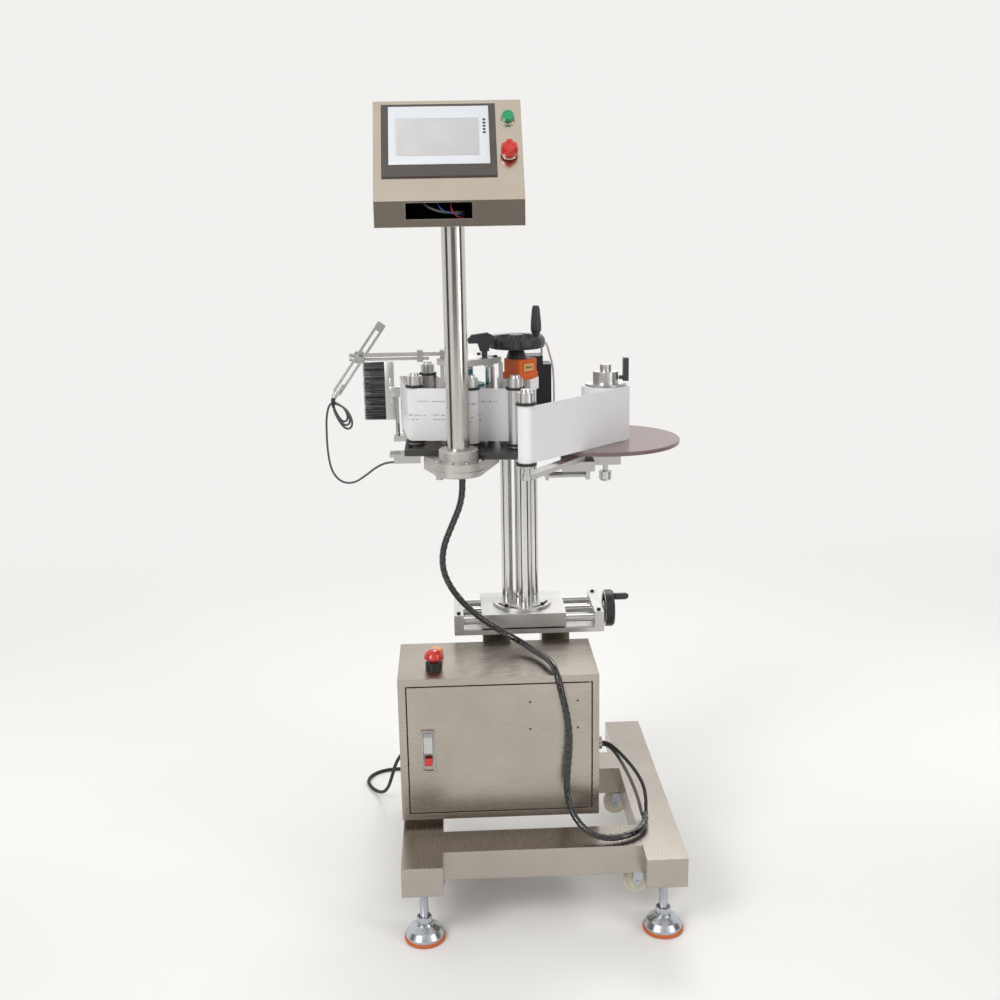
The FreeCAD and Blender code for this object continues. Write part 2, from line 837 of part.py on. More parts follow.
def cabinet_door():
    wall = d.cabinet_wall
    leaf = box("leaf", leaf_left, d.cabinet_front, leaf_bottom, leaf_right - leaf_left,
               d.door_thick, leaf_top - leaf_bottom)
    hollow = box("leaf_hollow", leaf_left + wall, d.cabinet_front + wall, leaf_bottom + wall,
                 leaf_right - leaf_left - 2 * wall, d.door_thick,
                 leaf_top - leaf_bottom - 2 * wall)
    pan = cut("door_pan", leaf, [hollow])
    pins = []
    for name, z in (("low", leaf_bottom - d.hinge_pin_length + 2), ("high", leaf_top - 2)):
        pins.append(rod(name + "_hinge_pin", pivot_x, pivot_y, z, d.hinge_pin_radius,
                        d.hinge_pin_length))
    dish = box("lock_dish", lock_x, lock_face, lock_z, d.lock_width, d.lock_proud + wall,
               d.lock_height)
    bed = box("lock_bed", lock_x + 3, lock_face - 1, lock_z + 3, d.lock_width - 6,
              d.lock_proud, d.lock_height - 6)
    frame = cut("lock_frame", dish, [bed])
    case = box("lock_case", lock_x + 2, d.cabinet_front + wall, lock_z + 10, d.lock_width - 4,
               Size(14), d.lock_height - 20)
    holes = []
    for x in (-15, 80):
        for rise in (191, 249):
            holes.append(rod(f"door_hole_{x}_{rise}", Size(x), d.cabinet_front - 1,
                             cabinet_bottom + rise, Size(2), wall + 2, "y"))
    way = rod("button_way", lock_x + d.lock_width / 2, lock_face - 1,
              lock_z + d.button_height + 7, Size(4) + d.shaft_gap, Size(14), "y")
    welded = join("door_welded", [pan, frame, case] + pins)
    node("cabinet_door", cut("cabinet_door", welded, holes + [way]))

    bar_x = lock_x + 4
    bar_width = d.lock_width - 8
    handle = new_body("latch_bar")
    side = new_sketch(handle, "latch_profile", "YZ_Plane", bar_x)
    rear = lock_face + d.lock_proud - 1 - d.running_gap
    top = lock_z + d.lock_height - 4
    draw_polygon(side, [
        (rear, handle_bottom),
        (rear, top),
        (lock_face - 3, top),
        (lock_face - 6, top - 8),
        (lock_face - 6, handle_bottom + 6),
        (lock_face - 3, handle_bottom),
    ])
    pad(handle, side, bar_width)
    node("latch_handle", handle)

    stem = rod("button_stem", lock_x + d.lock_width / 2, lock_face - 3,
               lock_z + d.button_height + 7, Size(4), Size(11.5), "y")
    head = rod("button_head", lock_x + d.lock_width / 2, lock_face - 6,
               lock_z + d.button_height + 7, Size(8), Size(3.5), "y")
    node("latch_button", join("latch_button", [stem, head]))


# Cross slide: base plate, end blocks, guide rods, carriage, screw and crank

def slide():
    bore = d.screw_radius + d.shaft_gap
    pieces = [box("slide_plate", d.slide_left, slide_front, slide_floor, d.slide_length,
                  d.slide_depth, d.slide_plate)]
    for name, x in (("left", d.slide_left), ("right", slide_right - d.slide_block)):
        block = box(name + "_end_block", x, slide_front, slide_floor + d.slide_plate,
                    d.slide_block, d.slide_depth, d.slide_height)
        way = rod(name + "_screw_way", x, d.slide_y, slide_axis, bore, d.slide_block, "x")
        pieces.append(cut(name + "_bored_block", block, [way]))
    span = d.slide_length - 2 * d.slide_block
    for name, side in (("front", -1), ("rear", 1)):
        pieces.append(rod(name + "_guide_rod", d.slide_left + d.slide_block,
                          d.slide_y + side * guide_offset, slide_axis, d.guide_radius,
                          span, "x"))
    node("slide_base", group("slide_base", pieces))

    body = new_body("carriage")
    section = new_sketch(body, "carriage_section", "YZ_Plane", d.carriage_left)
    carriage_bottom = slide_floor + d.slide_plate + d.carriage_lift
    draw_rectangle(section, slide_front, carriage_bottom, d.slide_depth,
                   d.slide_height - d.carriage_lift)
    draw_circle(section, d.slide_y, slide_axis, bore)
    for side in (-1, 1):
        draw_circle(section, d.slide_y + side * guide_offset, slide_axis,
                    d.guide_radius + d.shaft_gap)
    pad(body, section, d.carriage_length)
    node("carriage_block", body)

    wheel_left = slide_right + d.wheel_gap
    screw_left = d.slide_left + 4
    screw = rod("slide_screw_rod", screw_left, d.slide_y, slide_axis, d.screw_radius,
                wheel_left + d.slide_wheel_thick - 3 - screw_left, "x")
    bore_radius = d.screw_radius + d.shaft_gap
    thick = d.slide_wheel_thick
    wheel = lathe("slide_wheel", [
        (bore_radius, Size(0)),
        (d.screw_radius + 8, Size(0)),
        (d.screw_radius + 8, Size(6)),
        (d.slide_wheel_radius - 8, Size(6)),
        (d.slide_wheel_radius - 7, Size(1)),
        (d.slide_wheel_radius - 2, Size(0)),
        (d.slide_wheel_radius, Size(3)),
        (d.slide_wheel_radius, thick - 4),
        (d.slide_wheel_radius - 3, thick),
        (d.slide_wheel_radius - 8, thick - 2),
        (d.slide_wheel_radius - 9, Size(12)),
        (d.screw_radius + 8, Size(12)),
        (d.screw_radius + 7, thick),
        (Size(0), thick),
        (Size(0), thick - 3),
        (bore_radius, thick - 3),
    ], wheel_left, d.slide_y, slide_axis, TURNS["x"])
    pin = rod("slide_grip_pin", wheel_left + 8, d.slide_y, slide_axis + d.slide_crank, Size(3.5),
              thick + d.slide_grip_length - 10, "x")
    node("slide_screw", group("slide_screw", [screw, join("slide_handwheel", [wheel, pin])]))
    length = d.slide_grip_length
    grip = lathe("slide_grip", [
        (Size(3.5) + d.shaft_gap, Size(0)),
        (d.slide_grip_radius - 2, Size(0)),
        (d.slide_grip_radius, Size(4)),
        (d.slide_grip_radius, length - 6),
        (d.slide_grip_radius - 3, length),
        (Size(3.5) + d.shaft_gap, length),
    ])
    put(grip, turn=TURNS["x"])
    node("slide_crank_grip", grip, wheel_left + thick + d.running_gap, d.slide_y,
         slide_axis + d.slide_crank)


# Tower: turntable disc with arc slots, three columns, cap, dial, screw and handwheel

def slotted_disc():
    body = new_body("turntable")
    face = new_sketch(body, "turntable_face", "XY_Plane")
    draw_circle(face, Size(0), Size(0), d.disc_radius)
    pad(body, face, d.disc_thick)
    inner = float(d.slot_radius - d.slot_width / 2)
    outer = float(d.slot_radius + d.slot_width / 2)
    middle = float(d.slot_radius)
    slots = new_sketch(body, "turntable_slots", "XY_Plane", d.disc_thick)
    for start, end in ((200, 255), (295, 350), (70, 110)):
        low = math.radians(start)
        high = math.radians(end)
        first = slots.GeometryCount
        upward = Vector(0, 0, 1)
        for radius in (inner, outer):
            ring = Part.Circle(Vector(0, 0, 0), upward, radius)
            slots.addGeometry(Part.ArcOfCircle(ring, low, high), False)
        for angle, turn in ((low, math.pi), (high, 0)):
            centre = Vector(middle * math.cos(angle), middle * math.sin(angle), 0)
            ring = Part.Circle(centre, upward, (outer - inner) / 2)
            slots.addGeometry(Part.ArcOfCircle(ring, angle + turn, angle + turn + math.pi), False)
        inner_arc, outer_arc, low_cap, high_cap = range(first, first + 4)
        for one, end_one, two, end_two in (
            (low_cap, 2, outer_arc, 1), (low_cap, 1, inner_arc, 1),
            (high_cap, 1, outer_arc, 2), (high_cap, 2, inner_arc, 2),
        ):
            slots.addConstraint(Sketcher.Constraint("Coincident", one, end_one, two, end_two))
    pocket(body, slots, 3 * d.disc_thick)
    put(body)
    node("turntable_disc", body, d.disc_x, d.slide_y, disc_bottom)


def tower():
    slotted_disc()
    pieces = []
    for name, x, y in columns:
        pieces.append(rod(name + "_column", x, y, disc_top, d.column_radius, d.column_height))
    boss = rod("screw_boss", d.lift_x, d.slide_y, disc_top, d.boss_radius, d.boss_height)
    boss_way = rod("screw_boss_way", d.lift_x, d.slide_y, disc_top, screw_bore, d.boss_height)
    pieces.append(cut("bored_boss", boss, [boss_way]))
    edge = d.column_radius + d.cap_margin
    cap = slab("column_cap", [
        (d.left_column_x - edge, d.left_column_y - edge),
        (d.front_column_x - edge, d.front_column_y - edge * 0.9),
        (d.front_column_x + edge * 0.9, d.front_column_y - edge),
        (d.right_column_x + edge, d.right_column_y - edge),
        (d.right_column_x + edge, d.right_column_y + edge),
        (d.left_column_x - edge, d.left_column_y + edge),
    ], column_top, d.cap_height, [(d.lift_x, d.slide_y, screw_bore)])
    round_corners(cap, edge * 0.5, "z")
    pieces.append(cap)
    node("lift_columns", group("lift_columns", pieces))

    half = d.dial_side / 2
    turn = Rotation(Vector(0, 0, 1), -40)
    layers = []
    for name, bottom, height, grow in (
        ("dial_foot", cap_top, d.dial_base, 2), ("dial_block", cap_top + d.dial_base,
                                                 d.dial_height, 0),
    ):
        side = half + grow
        square = slab(name, [(-side, -side), (side, -side), (side, side), (-side, side)],
                      bottom, height)
        round_corners(square, Size(4), "z")
        put(square, d.dial_x, d.slide_y, Size(0), turn)
        bind(square, "Placement.Rotation.Angle", d.dial_turn)
        way = rod(name + "_way", d.lift_x, d.slide_y, bottom, screw_bore, height)
        layers.append(cut(name + "_bored", square, [way]))
    node("position_indicator", group("position_indicator", layers))

    wheel_z = dial_top + d.running_gap
    screw_z = disc_top + d.running_gap
    node("lift_screw", group("lift_screw", [
        rod("lift_screw_rod", d.lift_x, d.slide_y, screw_z, d.screw_radius,
            wheel_z + d.lift_hub_height + 16 - screw_z),
    ]))
    hub = d.lift_hub_height
    thick = d.lift_wheel_thick
    radius = d.lift_wheel_radius
    wheel = lathe("lift_wheel", [
        (screw_bore, Size(0)),
        (Size(22), Size(0)),
        (Size(15), hub - 2),
        (Size(24), hub + 6),
        (radius - 12, hub + 4),
        (radius - 7, hub),
        (radius - 2, hub + 2),
        (radius, hub + 8),
        (radius, hub + 18),
        (radius - 5, hub + thick - 2),
        (radius - 11, hub + thick - 4),
        (radius - 14, hub + 16),
        (Size(18), hub + 15),
        (Size(14), hub + thick),
        (Size(0), hub + thick),
        (Size(0), hub + 16),
        (screw_bore, hub + 16),
    ])
    lobe = new_sketch(wheel, "lift_wheel_lobe", "XY_Plane", hub + 13)
    draw_circle(lobe, radius + 7, Size(0), Size(11))
    scoop = pocket(wheel, lobe, Size(60))
    ring = wheel.newObject("PartDesign::PolarPattern", "lift_wheel_lobes")
    ring.Originals = [scoop]
    ring.Axis = (lobe, ["N_Axis"])
    ring.Angle = 360
    ring.Occurrences = 8
    wheel.Tip = ring
    put(wheel, d.lift_x, d.slide_y, wheel_z)
    grip_x = d.lift_x + d.lift_grip_x
    grip_y = d.slide_y + d.lift_grip_y
    pin = rod("lift_grip_pin", grip_x, grip_y, wheel_z + hub + 10, Size(4),
              thick + d.lift_grip_length - 12)
    node("lift_handwheel", join("lift_handwheel", [wheel, pin]))
    length = d.lift_grip_length
    node("lift_crank_grip", lathe("lift_grip", [
        (Size(4) + d.shaft_gap, Size(0)),
        (Size(8), Size(0)),
        (Size(8), Size(4)),
        (d.lift_grip_radius, Size(10)),
        (d.lift_grip_radius, Size(24)),
        (Size(8), length - 6),
        (Size(6), length),
        (Size(4) + d.shaft_gap, length),
    ]), grip_x, grip_y, wheel_z + hub + thick + d.running_gap)


# Label head: plate, axles, post socket, bearing blocks

def head_plate():
    clear = d.column_radius + d.column_clearance
    holes = [(x, y, clear) for name, x, y in columns]
    holes.append((d.lift_x, d.slide_y, d.screw_radius + 1))
    holes.append((d.drive_x, d.drive_y, Size(8)))
    holes.append((d.unwind_x, d.unwind_y, d.unwind_shaft_radius + 1))
    plate = slab("dark_plate", [
        (Size(-252), Size(0)),
        (Size(-104), Size(-6)),
        (Size(-104), Size(-48)),
        (Size(2), Size(-62)),
        (Size(60), Size(-14)),
        (Size(150), Size(-14)),
        (Size(190), Size(4)),
        (Size(190), Size(64)),
        (Size(120), Size(130)),
        (Size(70), Size(262)),
        (Size(-235), Size(262)),
        (Size(-252), Size(245)),
    ], d.plate_bottom, d.plate_thick, holes)
    pieces = [plate]
    for name in "abcd":
        x = getattr(d, f"roller_{name}_x")
        y = getattr(d, f"roller_{name}_y")
        pieces.append(rod(f"axle_pin_{name}", x, y, plate_top, d.axle_pin_radius,
                          roller_top - plate_top - 4))
    node("head_plate", group("head_plate", pieces))


def post_socket():
    bottom = d.plate_bottom - d.flange_height
    bore = d.post_radius + d.shaft_gap
    top = d.flange_height + d.collar_height
    collar = lathe("socket_collar", [
        (Size(0), Size(0)),
        (d.flange_radius - 2, Size(0)),
        (d.flange_radius, Size(2)),
        (d.flange_radius, Size(11)),
        (d.flange_radius - 1.5, Size(12)),
        (d.flange_radius, Size(13)),
        (d.flange_radius, d.flange_height),
        (d.collar_radius, d.flange_height),
        (d.collar_radius, top - 2),
        (d.collar_radius - 2, top),
        (Size(0), top),
    ], d.post_x, d.post_y, bottom)
    arm = slab("socket_arm", [
        (d.post_x - 50, d.post_y),
        (d.post_x - 70, d.post_y + 55),
        (d.post_x - 65, d.post_y + 100),
        (d.post_x + 84, d.post_y + 101),
        (d.post_x + 50, d.post_y),
    ], bottom, d.flange_height)
    bolt = hexagon("socket_bolt", d.post_x - 38, d.post_y - 14, bottom - 7, Size(13), Size(9))
    way = rod("socket_way", d.post_x, d.post_y, bottom, bore, top)
    solid = join("socket_casting", [collar, arm, bolt])
    node("post_socket", cut("post_socket", solid, [way]))


def bearing_blocks():
    bottom = d.plate_bottom - d.block_height
    edge = d.column_radius + 9
    block = slab("lift_nut", [
        (d.left_column_x - edge, d.front_column_y - edge),
        (d.right_column_x + edge, d.front_column_y - edge),
        (d.right_column_x + edge, d.right_column_y + edge),
        (d.left_column_x - edge, d.right_column_y + edge),
    ], bottom, d.block_height,
        [(x, y, d.column_radius + d.shaft_gap) for name, x, y in columns]
        + [(d.lift_x, d.slide_y, screw_bore)])
    round_corners(block, Size(10), "z")
    side = 28
    unwind = slab("unwind_block", [
        (d.unwind_x - side, d.unwind_y - side),
        (d.unwind_x + side, d.unwind_y - side),
        (d.unwind_x + side, d.unwind_y + side),
        (d.unwind_x - side, d.unwind_y + side),
    ], bottom, d.block_height,
        [(d.unwind_x, d.unwind_y, d.unwind_shaft_radius + d.shaft_gap)])
    arm_bottom = d.plate_bottom - 0.5 - d.arm_thick
    bracket_top = arm_bottom - d.running_gap
    bracket_x = d.dancer_pivot_x - 33
    bracket = box("dancer_bracket", bracket_x, d.dancer_pivot_y - 14, bracket_top - 20,
                  Size(64), Size(60), Size(20))
    upstand = box("dancer_upstand", bracket_x, Size(0), bracket_top, Size(64),
                  d.dancer_pivot_y + 46, d.plate_bottom - bracket_top)
    pin = rod("dancer_pin", d.dancer_pivot_x, d.dancer_pivot_y, bracket_top - 2, d.pivot_radius,
              d.arm_thick + 5)
    pieces = [block, join("dancer_carrier", [bracket, upstand, pin])]
    spring_top = bracket_top - 20
    pieces.append(box("spring_lug", bracket_x + 46, d.dancer_pivot_y - 14, spring_top - 16,
                      Size(8), Size(30), Size(16)))
    pieces.append(box("spring_cap", bracket_x - 34, d.dancer_pivot_y - 14, spring_top - 16,
                      Size(6), Size(30), Size(16)))
    for name, offset in (("front", -7), ("rear", 9)):
        pieces.append(rod(name + "_brake_spring", bracket_x - 28, d.dancer_pivot_y + offset,
                          spring_top - 8, Size(4), Size(74), "x"))
    pieces.append(unwind)
    node("bearing_blocks", group("bearing_blocks", pieces))


# Guide rollers with two rubber rings each

def roller(name, bottom, x, y):
    bore = d.axle_pin_radius + d.shaft_gap
    ring_low = d.web_bottom - d.ring_thick - bottom
    web_low = d.web_bottom - bottom
    web_high = web_top - bottom
    top = roller_top - bottom
    radius = d.roller_radius
    return lathe(name, [
        (bore, Size(0)),
        (Size(9), Size(0)),
        (Size(9), Size(2)),
        (radius, Size(2)),
        (radius, ring_low),
        (d.ring_radius, ring_low),
        (d.ring_radius, web_low),
        (radius, web_low),
        (radius, web_high),
        (d.ring_radius, web_high),
        (d.ring_radius, web_high + d.ring_thick),
        (radius, web_high + d.ring_thick),
        (radius, top),
        (Size(10), top),
        (Size(9), top + d.roller_cap_height),
        (Size(0), top + d.roller_cap_height),
        (Size(0), top - 3),
        (bore, top - 3),
    ], x, y, bottom)


def rollers():
    for name in "abcd":
        x = getattr(d, f"roller_{name}_x")
        y = getattr(d, f"roller_{name}_y")
        body = roller("roller_" + name, roller_bottom, Size(0), Size(0))
        node("guide_roller_" + name, body, x, y, roller_bottom)


def dancer():
    bottom = d.plate_bottom - 0.5 - d.arm_thick
    run_x = d.dancer_x - d.dancer_pivot_x
    run_y = d.dancer_y - d.dancer_pivot_y
    length = math.hypot(float(run_x), float(run_y))
    heading = math.degrees(math.atan2(float(run_y), float(run_x)))
    half = d.arm_width / 2
    bar = new_body("arm_bar")
    outline = new_sketch(bar, "arm_outline", "XY_Plane")
    draw_rectangle(outline, Size(0), -half, Size(length), d.arm_width)
    pad(bar, outline, d.arm_thick)
    put(bar, d.dancer_pivot_x, d.dancer_pivot_y, bottom, Rotation(Vector(0, 0, 1), heading))
    pivot_end = rod("arm_pivot_end", d.dancer_pivot_x, d.dancer_pivot_y, bottom, half + 2,
                    d.arm_thick)
    roller_end = rod("arm_roller_end", d.dancer_x, d.dancer_y, bottom, half, d.arm_thick)
    spacer = rod("arm_spacer", d.dancer_x, d.dancer_y, bottom + d.arm_thick, Size(8),
                 roller_bottom - d.roller_gap - bottom - d.arm_thick)
    axle = rod("arm_axle", d.dancer_x, d.dancer_y, bottom + 2, d.axle_pin_radius,
               roller_top - 4 - bottom - 2)
    way = rod("arm_pivot_way", d.dancer_pivot_x, d.dancer_pivot_y, bottom - 1,
              d.pivot_radius + d.shaft_gap, d.arm_thick + 2)
    arm = join("arm_joined", [bar, pivot_end, roller_end, spacer, axle])
    node("dancer_arm", cut("dancer_arm", arm, [way]))
    body = roller("dancer_wheel", roller_bottom, Size(0), Size(0))
    node("dancer_roller", body, d.dancer_x, d.dancer_y, roller_bottom)


# Unwind: tinted disc, clamp hub, label roll, brake knob and clamp lever

def unwind_unit():
    x = d.unwind_x
    y = d.unwind_y
    disc_low = plate_top + d.unwind_gap
    disc_high = disc_low + d.unwind_disc_thick
    shaft = d.unwind_shaft_radius
    node("unwind_disc", lathe("tinted_disc", [
        (shaft + 0.1, Size(0)),
        (d.unwind_disc_radius - 1, Size(0)),
        (d.unwind_disc_radius, Size(1)),
        (d.unwind_disc_radius, d.unwind_disc_thick - 1),
        (d.unwind_disc_radius - 1, d.unwind_disc_thick),
        (shaft + 0.1, d.unwind_disc_thick),
    ]), x, y, disc_low)
    roll_top = disc_high + d.web_width
    core = d.core_radius - 0.3
    low = d.plate_bottom - d.block_height - d.brake_shaft_length - d.brake_knob_height
    knob = d.brake_knob_height
    block_low = knob + d.brake_shaft_length
    base = disc_high - low
    top = roll_top - low
    node("unwind_hub", lathe("unwind_spindle", [
        (Size(0), Size(0)),
        (d.brake_knob_radius - 2, Size(0)),
        (d.brake_knob_radius, Size(3)),
        (d.brake_knob_radius, knob),
        (d.brake_shaft_radius, knob),
        (d.brake_shaft_radius, block_low),
        (shaft, block_low),
        (shaft, base),
        (core, base),
        (core, top + 2.5),
        (d.clamp_disc_radius, top + 2.5),
        (d.clamp_disc_radius, top + 4.5),
        (d.clamp_hub_radius, top + 4.5),
        (d.clamp_hub_radius, top + 4.5 + d.clamp_hub_height),
        (shaft, top + 4.5 + d.clamp_hub_height),
        (shaft, d.unwind_top - low),
        (Size(0), d.unwind_top - low),
    ]), x, y, low)
    node("label_roll", lathe("roll", [
        (d.core_radius, Size(0)),
        (d.roll_radius, Size(0)),
        (d.roll_radius, d.web_width),
        (d.core_radius, d.web_width),
    ]), x, y, disc_high)
    lever_x = x + d.clamp_hub_radius
    hub_z = roll_top + 4.5 + d.clamp_hub_height / 2
    stud = rod("lever_stud", lever_x + 0.3, y - 8, hub_z, Size(4), Size(9), "x")
    lever = box("lever_bar", lever_x + 8, y - 15, hub_z - 7, Size(11), Size(14), Size(46))
    node("core_clamp_lever", join("core_clamp_lever", [stud, lever]))


# Traction: teal drive roller, chrome pinch roller, bridge plate and clamp lever

def traction():
    node("drive_roller", lathe("teal_roller", [
        (Size(0), Size(0)),
        (Size(9), Size(0)),
        (Size(9), Size(3)),
        (d.drive_radius, Size(3)),
        (d.drive_radius, web_top + 4 - roller_bottom),
        (Size(8), web_top + 4 - roller_bottom),
        (Size(8), d.bridge_bottom - roller_bottom - d.running_gap),
        (Size(0), d.bridge_bottom - roller_bottom - d.running_gap),
    ]), d.drive_x, d.drive_y, roller_bottom)
    pinch_top = d.bridge_bottom - 8 - d.running_gap - roller_bottom
    node("pinch_roller", lathe("chrome_roller", [
        (Size(0), Size(0)),
        (Size(5), Size(0)),
        (Size(5), Size(2)),
        (d.pinch_radius, Size(2)),
        (d.pinch_radius, pinch_top - 2),
        (Size(5), pinch_top - 2),
        (Size(5), pinch_top),
        (Size(0), pinch_top),
    ]), d.pinch_x, d.pinch_y, roller_bottom)
    long_half = d.bridge_length / 2
    short_half = d.bridge_width / 2
    plate = slab("bridge_plate", [
        (-long_half, -short_half),
        (long_half, -short_half),
        (long_half, short_half),
        (-long_half, short_half),
    ], d.bridge_bottom, d.bridge_thick)
    round_corners(plate, Size(4), "z")
    put(plate, d.bridge_x, d.bridge_y, Size(0), Rotation(Vector(0, 0, 1), 35))
    bind(plate, "Placement.Rotation.Angle", d.bridge_turn)
    pieces = [plate]
    for name, x, y in (("right", -54, 56), ("left", -172, 58)):
        pieces.append(box(name + "_bar", Size(x) - d.bar_thick / 2, Size(y) - d.bar_width / 2,
                          plate_top, d.bar_thick, d.bar_width, d.bridge_bottom - plate_top))
    pieces.append(box("pinch_block", d.pinch_x - 12, d.pinch_y - 12, d.bridge_bottom - 8,
                      Size(20), Size(24), Size(8)))
    node("traction_bridge", group("traction_bridge", pieces))
    top = d.bridge_bottom + d.bridge_thick
    stud = rod("pinch_stud", Size(-86), Size(60), top + d.running_gap, Size(6), Size(16))
    grip = new_body("pinch_grip")
    face = new_sketch(grip, "pinch_grip_face", "XZ_Plane", Size(-60))
    draw_polygon(face, [
        (Size(-95), top + 12),
        (Size(-77), top + 12),
        (Size(-75), top + 24),
        (Size(-66), top + 30),
        (Size(-66), top + 42),
        (Size(-80), top + 49),
        (Size(-112), top + 45),
        (Size(-120), top + 36),
        (Size(-118), top + 28),
        (Size(-100), top + 28),
    ])
    pad(grip, face, Size(14), True)
    node("pinch_lever", join("pinch_lever", [stud, grip]))


def peel_plate():
    run_x = d.peel_tip_x - d.peel_foot_x
    run_y = d.peel_tip_y - d.peel_foot_y
    length = Size(math.hypot(float(run_x), float(run_y)))
    half = d.peel_thick / 2
    off_x = run_y / length * half
    off_y = -run_x / length * half
    blade = slab("peel_blade", [
        (d.peel_foot_x - off_x, d.peel_foot_y - off_y),
        (d.peel_foot_x + off_x, d.peel_foot_y + off_y),
        (d.peel_tip_x + off_x, d.peel_tip_y + off_y - 8),
        (d.peel_tip_x + 0.5, d.peel_tip_y),
        (d.peel_tip_x - 0.5, d.peel_tip_y),
        (d.peel_tip_x - off_x, d.peel_tip_y - off_y - 8),
    ], plate_top, d.peel_top - plate_top)
    foot = box("peel_foot", d.peel_foot_x + 0.5, d.peel_foot_y + 10, plate_top, Size(16),
               Size(60), Size(10))
    node("peel_plate", join("peel_plate", [blade, foot]))


# Adjusting rods with the label sensor, wipe-on brush, product sensor

def adjusting_rods():
    pieces = []
    foot_bottom = d.plate_bottom - 12
    pieces.append(box("brush_foot", d.brush_rod_x - 9, d.brush_rod_y - 14, foot_bottom,
                      Size(43), Size(28), Size(12)))
    pieces.append(rod("brush_rod", d.brush_rod_x, d.brush_rod_y, d.plate_bottom,
                      d.brush_rod_radius, Size(91.5)))
    z = d.sensor_rod_z
    y = d.sensor_rod_y
    low_z = z - d.second_rod_drop
    bridge_top = d.bridge_bottom + d.bridge_thick
    rods = [
        ("long_rod", -358, 208, z, d.sensor_rod_radius),
        ("short_rod", -358, 160, low_z, d.second_rod_radius),
    ]
    clamps = [
        ("bridge_clamp", -176, 26, bridge_top, z + 8 - bridge_top, 16),
        ("collar_clamp", -222, 12, low_z - 6, z - low_z + 14, 11),
        ("pivot_clamp", -346, 18, low_z - 6, z - low_z + 14, 10),
    ]
    for name, x, length, rod_z, radius in rods:
        pieces.append(rod(name, Size(x), y, rod_z, radius, Size(length), "x"))
    for name, x, length, bottom, height, half in clamps:
        block = box(name + "_block", Size(x), y - half, bottom, Size(length), Size(2 * half),
                    height)
        ways = []
        for rod_name, rod_x, rod_length, rod_z, radius in rods:
            if float(rod_z) - float(bottom) > float(radius):
                ways.append(rod(f"{name}_{rod_name}_way", Size(x) - 1, y, rod_z,
                                radius + d.shaft_gap, Size(length + 2), "x"))
        pieces.append(cut(name, block, ways))
    bracket_bottom = d.plate_bottom - 6
    pieces.append(box("sensor_bracket", Size(-283), Size(20), bracket_bottom, Size(66), Size(40),
                      Size(6)))
    pieces.append(box("sensor_body", Size(-275), Size(25), bracket_bottom - 14, Size(54),
                      Size(25), Size(14)))
    node("adjusting_rods", group("adjusting_rods", pieces))


def brush():
    x = d.brush_rod_x
    y = d.brush_rod_y
    middle = d.brush_bottom + d.brush_height / 2
    arm = box("brush_arm", x - 16, y - 7, middle - 11, Size(24), Size(14), Size(22))
    way = rod("brush_arm_way", x, y, middle - 12, d.brush_rod_radius + d.shaft_gap, Size(24))
    holder = box("brush_holder", x - 25, y + 7, d.brush_bottom, Size(20), Size(14),
                 d.brush_height)
    plate = box("brush_link", x - 16, y + 2, middle - 28, Size(10), Size(5), Size(57))
    bristles = box("bristles", x - 25 - d.bristle_length, y + 14 - d.bristle_thick / 2,
                   d.brush_bottom, d.bristle_length, d.bristle_thick, d.brush_height + 3)
    held = join("brush_holder_welded", [arm, holder, plate])
    node("wipe_brush", group("wipe_brush", [cut("brush_carrier", held, [way]), bristles]))


def product_sensor():
    half = d.sensor_bar_width / 2
    reach = d.sensor_bar_length / 2
    bar = new_body("slotted_bar")
    face = new_sketch(bar, "slotted_bar_face", "XZ_Plane")
    draw_rectangle(face, -half, -reach, d.sensor_bar_width, d.sensor_bar_length)
    pad(bar, face, d.sensor_bar_thick, True)
    slot = new_sketch(bar, "slotted_bar_slot", "XZ_Plane")
    draw_rectangle(slot, Size(-3.5), 18 - reach, Size(7), d.sensor_bar_length - 36)
    pocket(bar, slot, 3 * d.sensor_bar_thick)
    turn = Rotation(Vector(0, 1, 0), float(d.sensor_tilt))
    put(bar, turn=turn)
    lower = 6 - reach
    tube = rod("sensor_tube", Size(0), Size(0), Size(0), d.sensor_radius, Size(34))
    offset = d.sensor_bar_thick / 2 + d.sensor_radius
    tube_start = lower - 16
    put(tube, tube_start * sine(d.sensor_tilt), -offset, tube_start * cosine(d.sensor_tilt), turn)
    bolt = rod("pivot_bolt", Size(0), -d.sensor_bar_thick / 2 - 5, Size(0), Size(5), Size(5),
               "y")
    thumb = rod("pivot_washer", Size(0), d.sensor_bar_thick / 2, Size(0), Size(6), Size(3), "y")
    arm = group("product_sensor_arm", [bar, tube, bolt, thumb])
    node("product_sensor_arm", arm, d.sensor_pivot_x,
         d.sensor_rod_y - 10 - 3 - d.sensor_bar_thick / 2 - d.running_gap,
         d.sensor_rod_z - d.second_rod_drop / 2)


def drive_motor():
    node("drive_motor", group("drive_motor", [
        box("motor_case", Size(-2), Size(192), plate_top, Size(44), Size(58), Size(159)),
        box("motor_channel", Size(42), Size(192), plate_top, Size(18), Size(58), Size(141)),
    ]))


# Operator console: bent sheet housing on its post, touch panel and two buttons

fold_z = d.post_top + d.console_lower
console_turn = Rotation(Vector(1, 0, 0), -float(d.console_lean))
button_turn = Rotation(Vector(1, 0, 0), 90 - float(d.console_lean))


def on_face(up, inward):
    """Y and Z of a point on the sloping face, up from the fold and inward from it."""
    lean = d.console_lean
    y = d.console_front + up * sine(lean) + inward * cosine(lean)
    z = fold_z + up * cosine(lean) - inward * sine(lean)
    return y, z


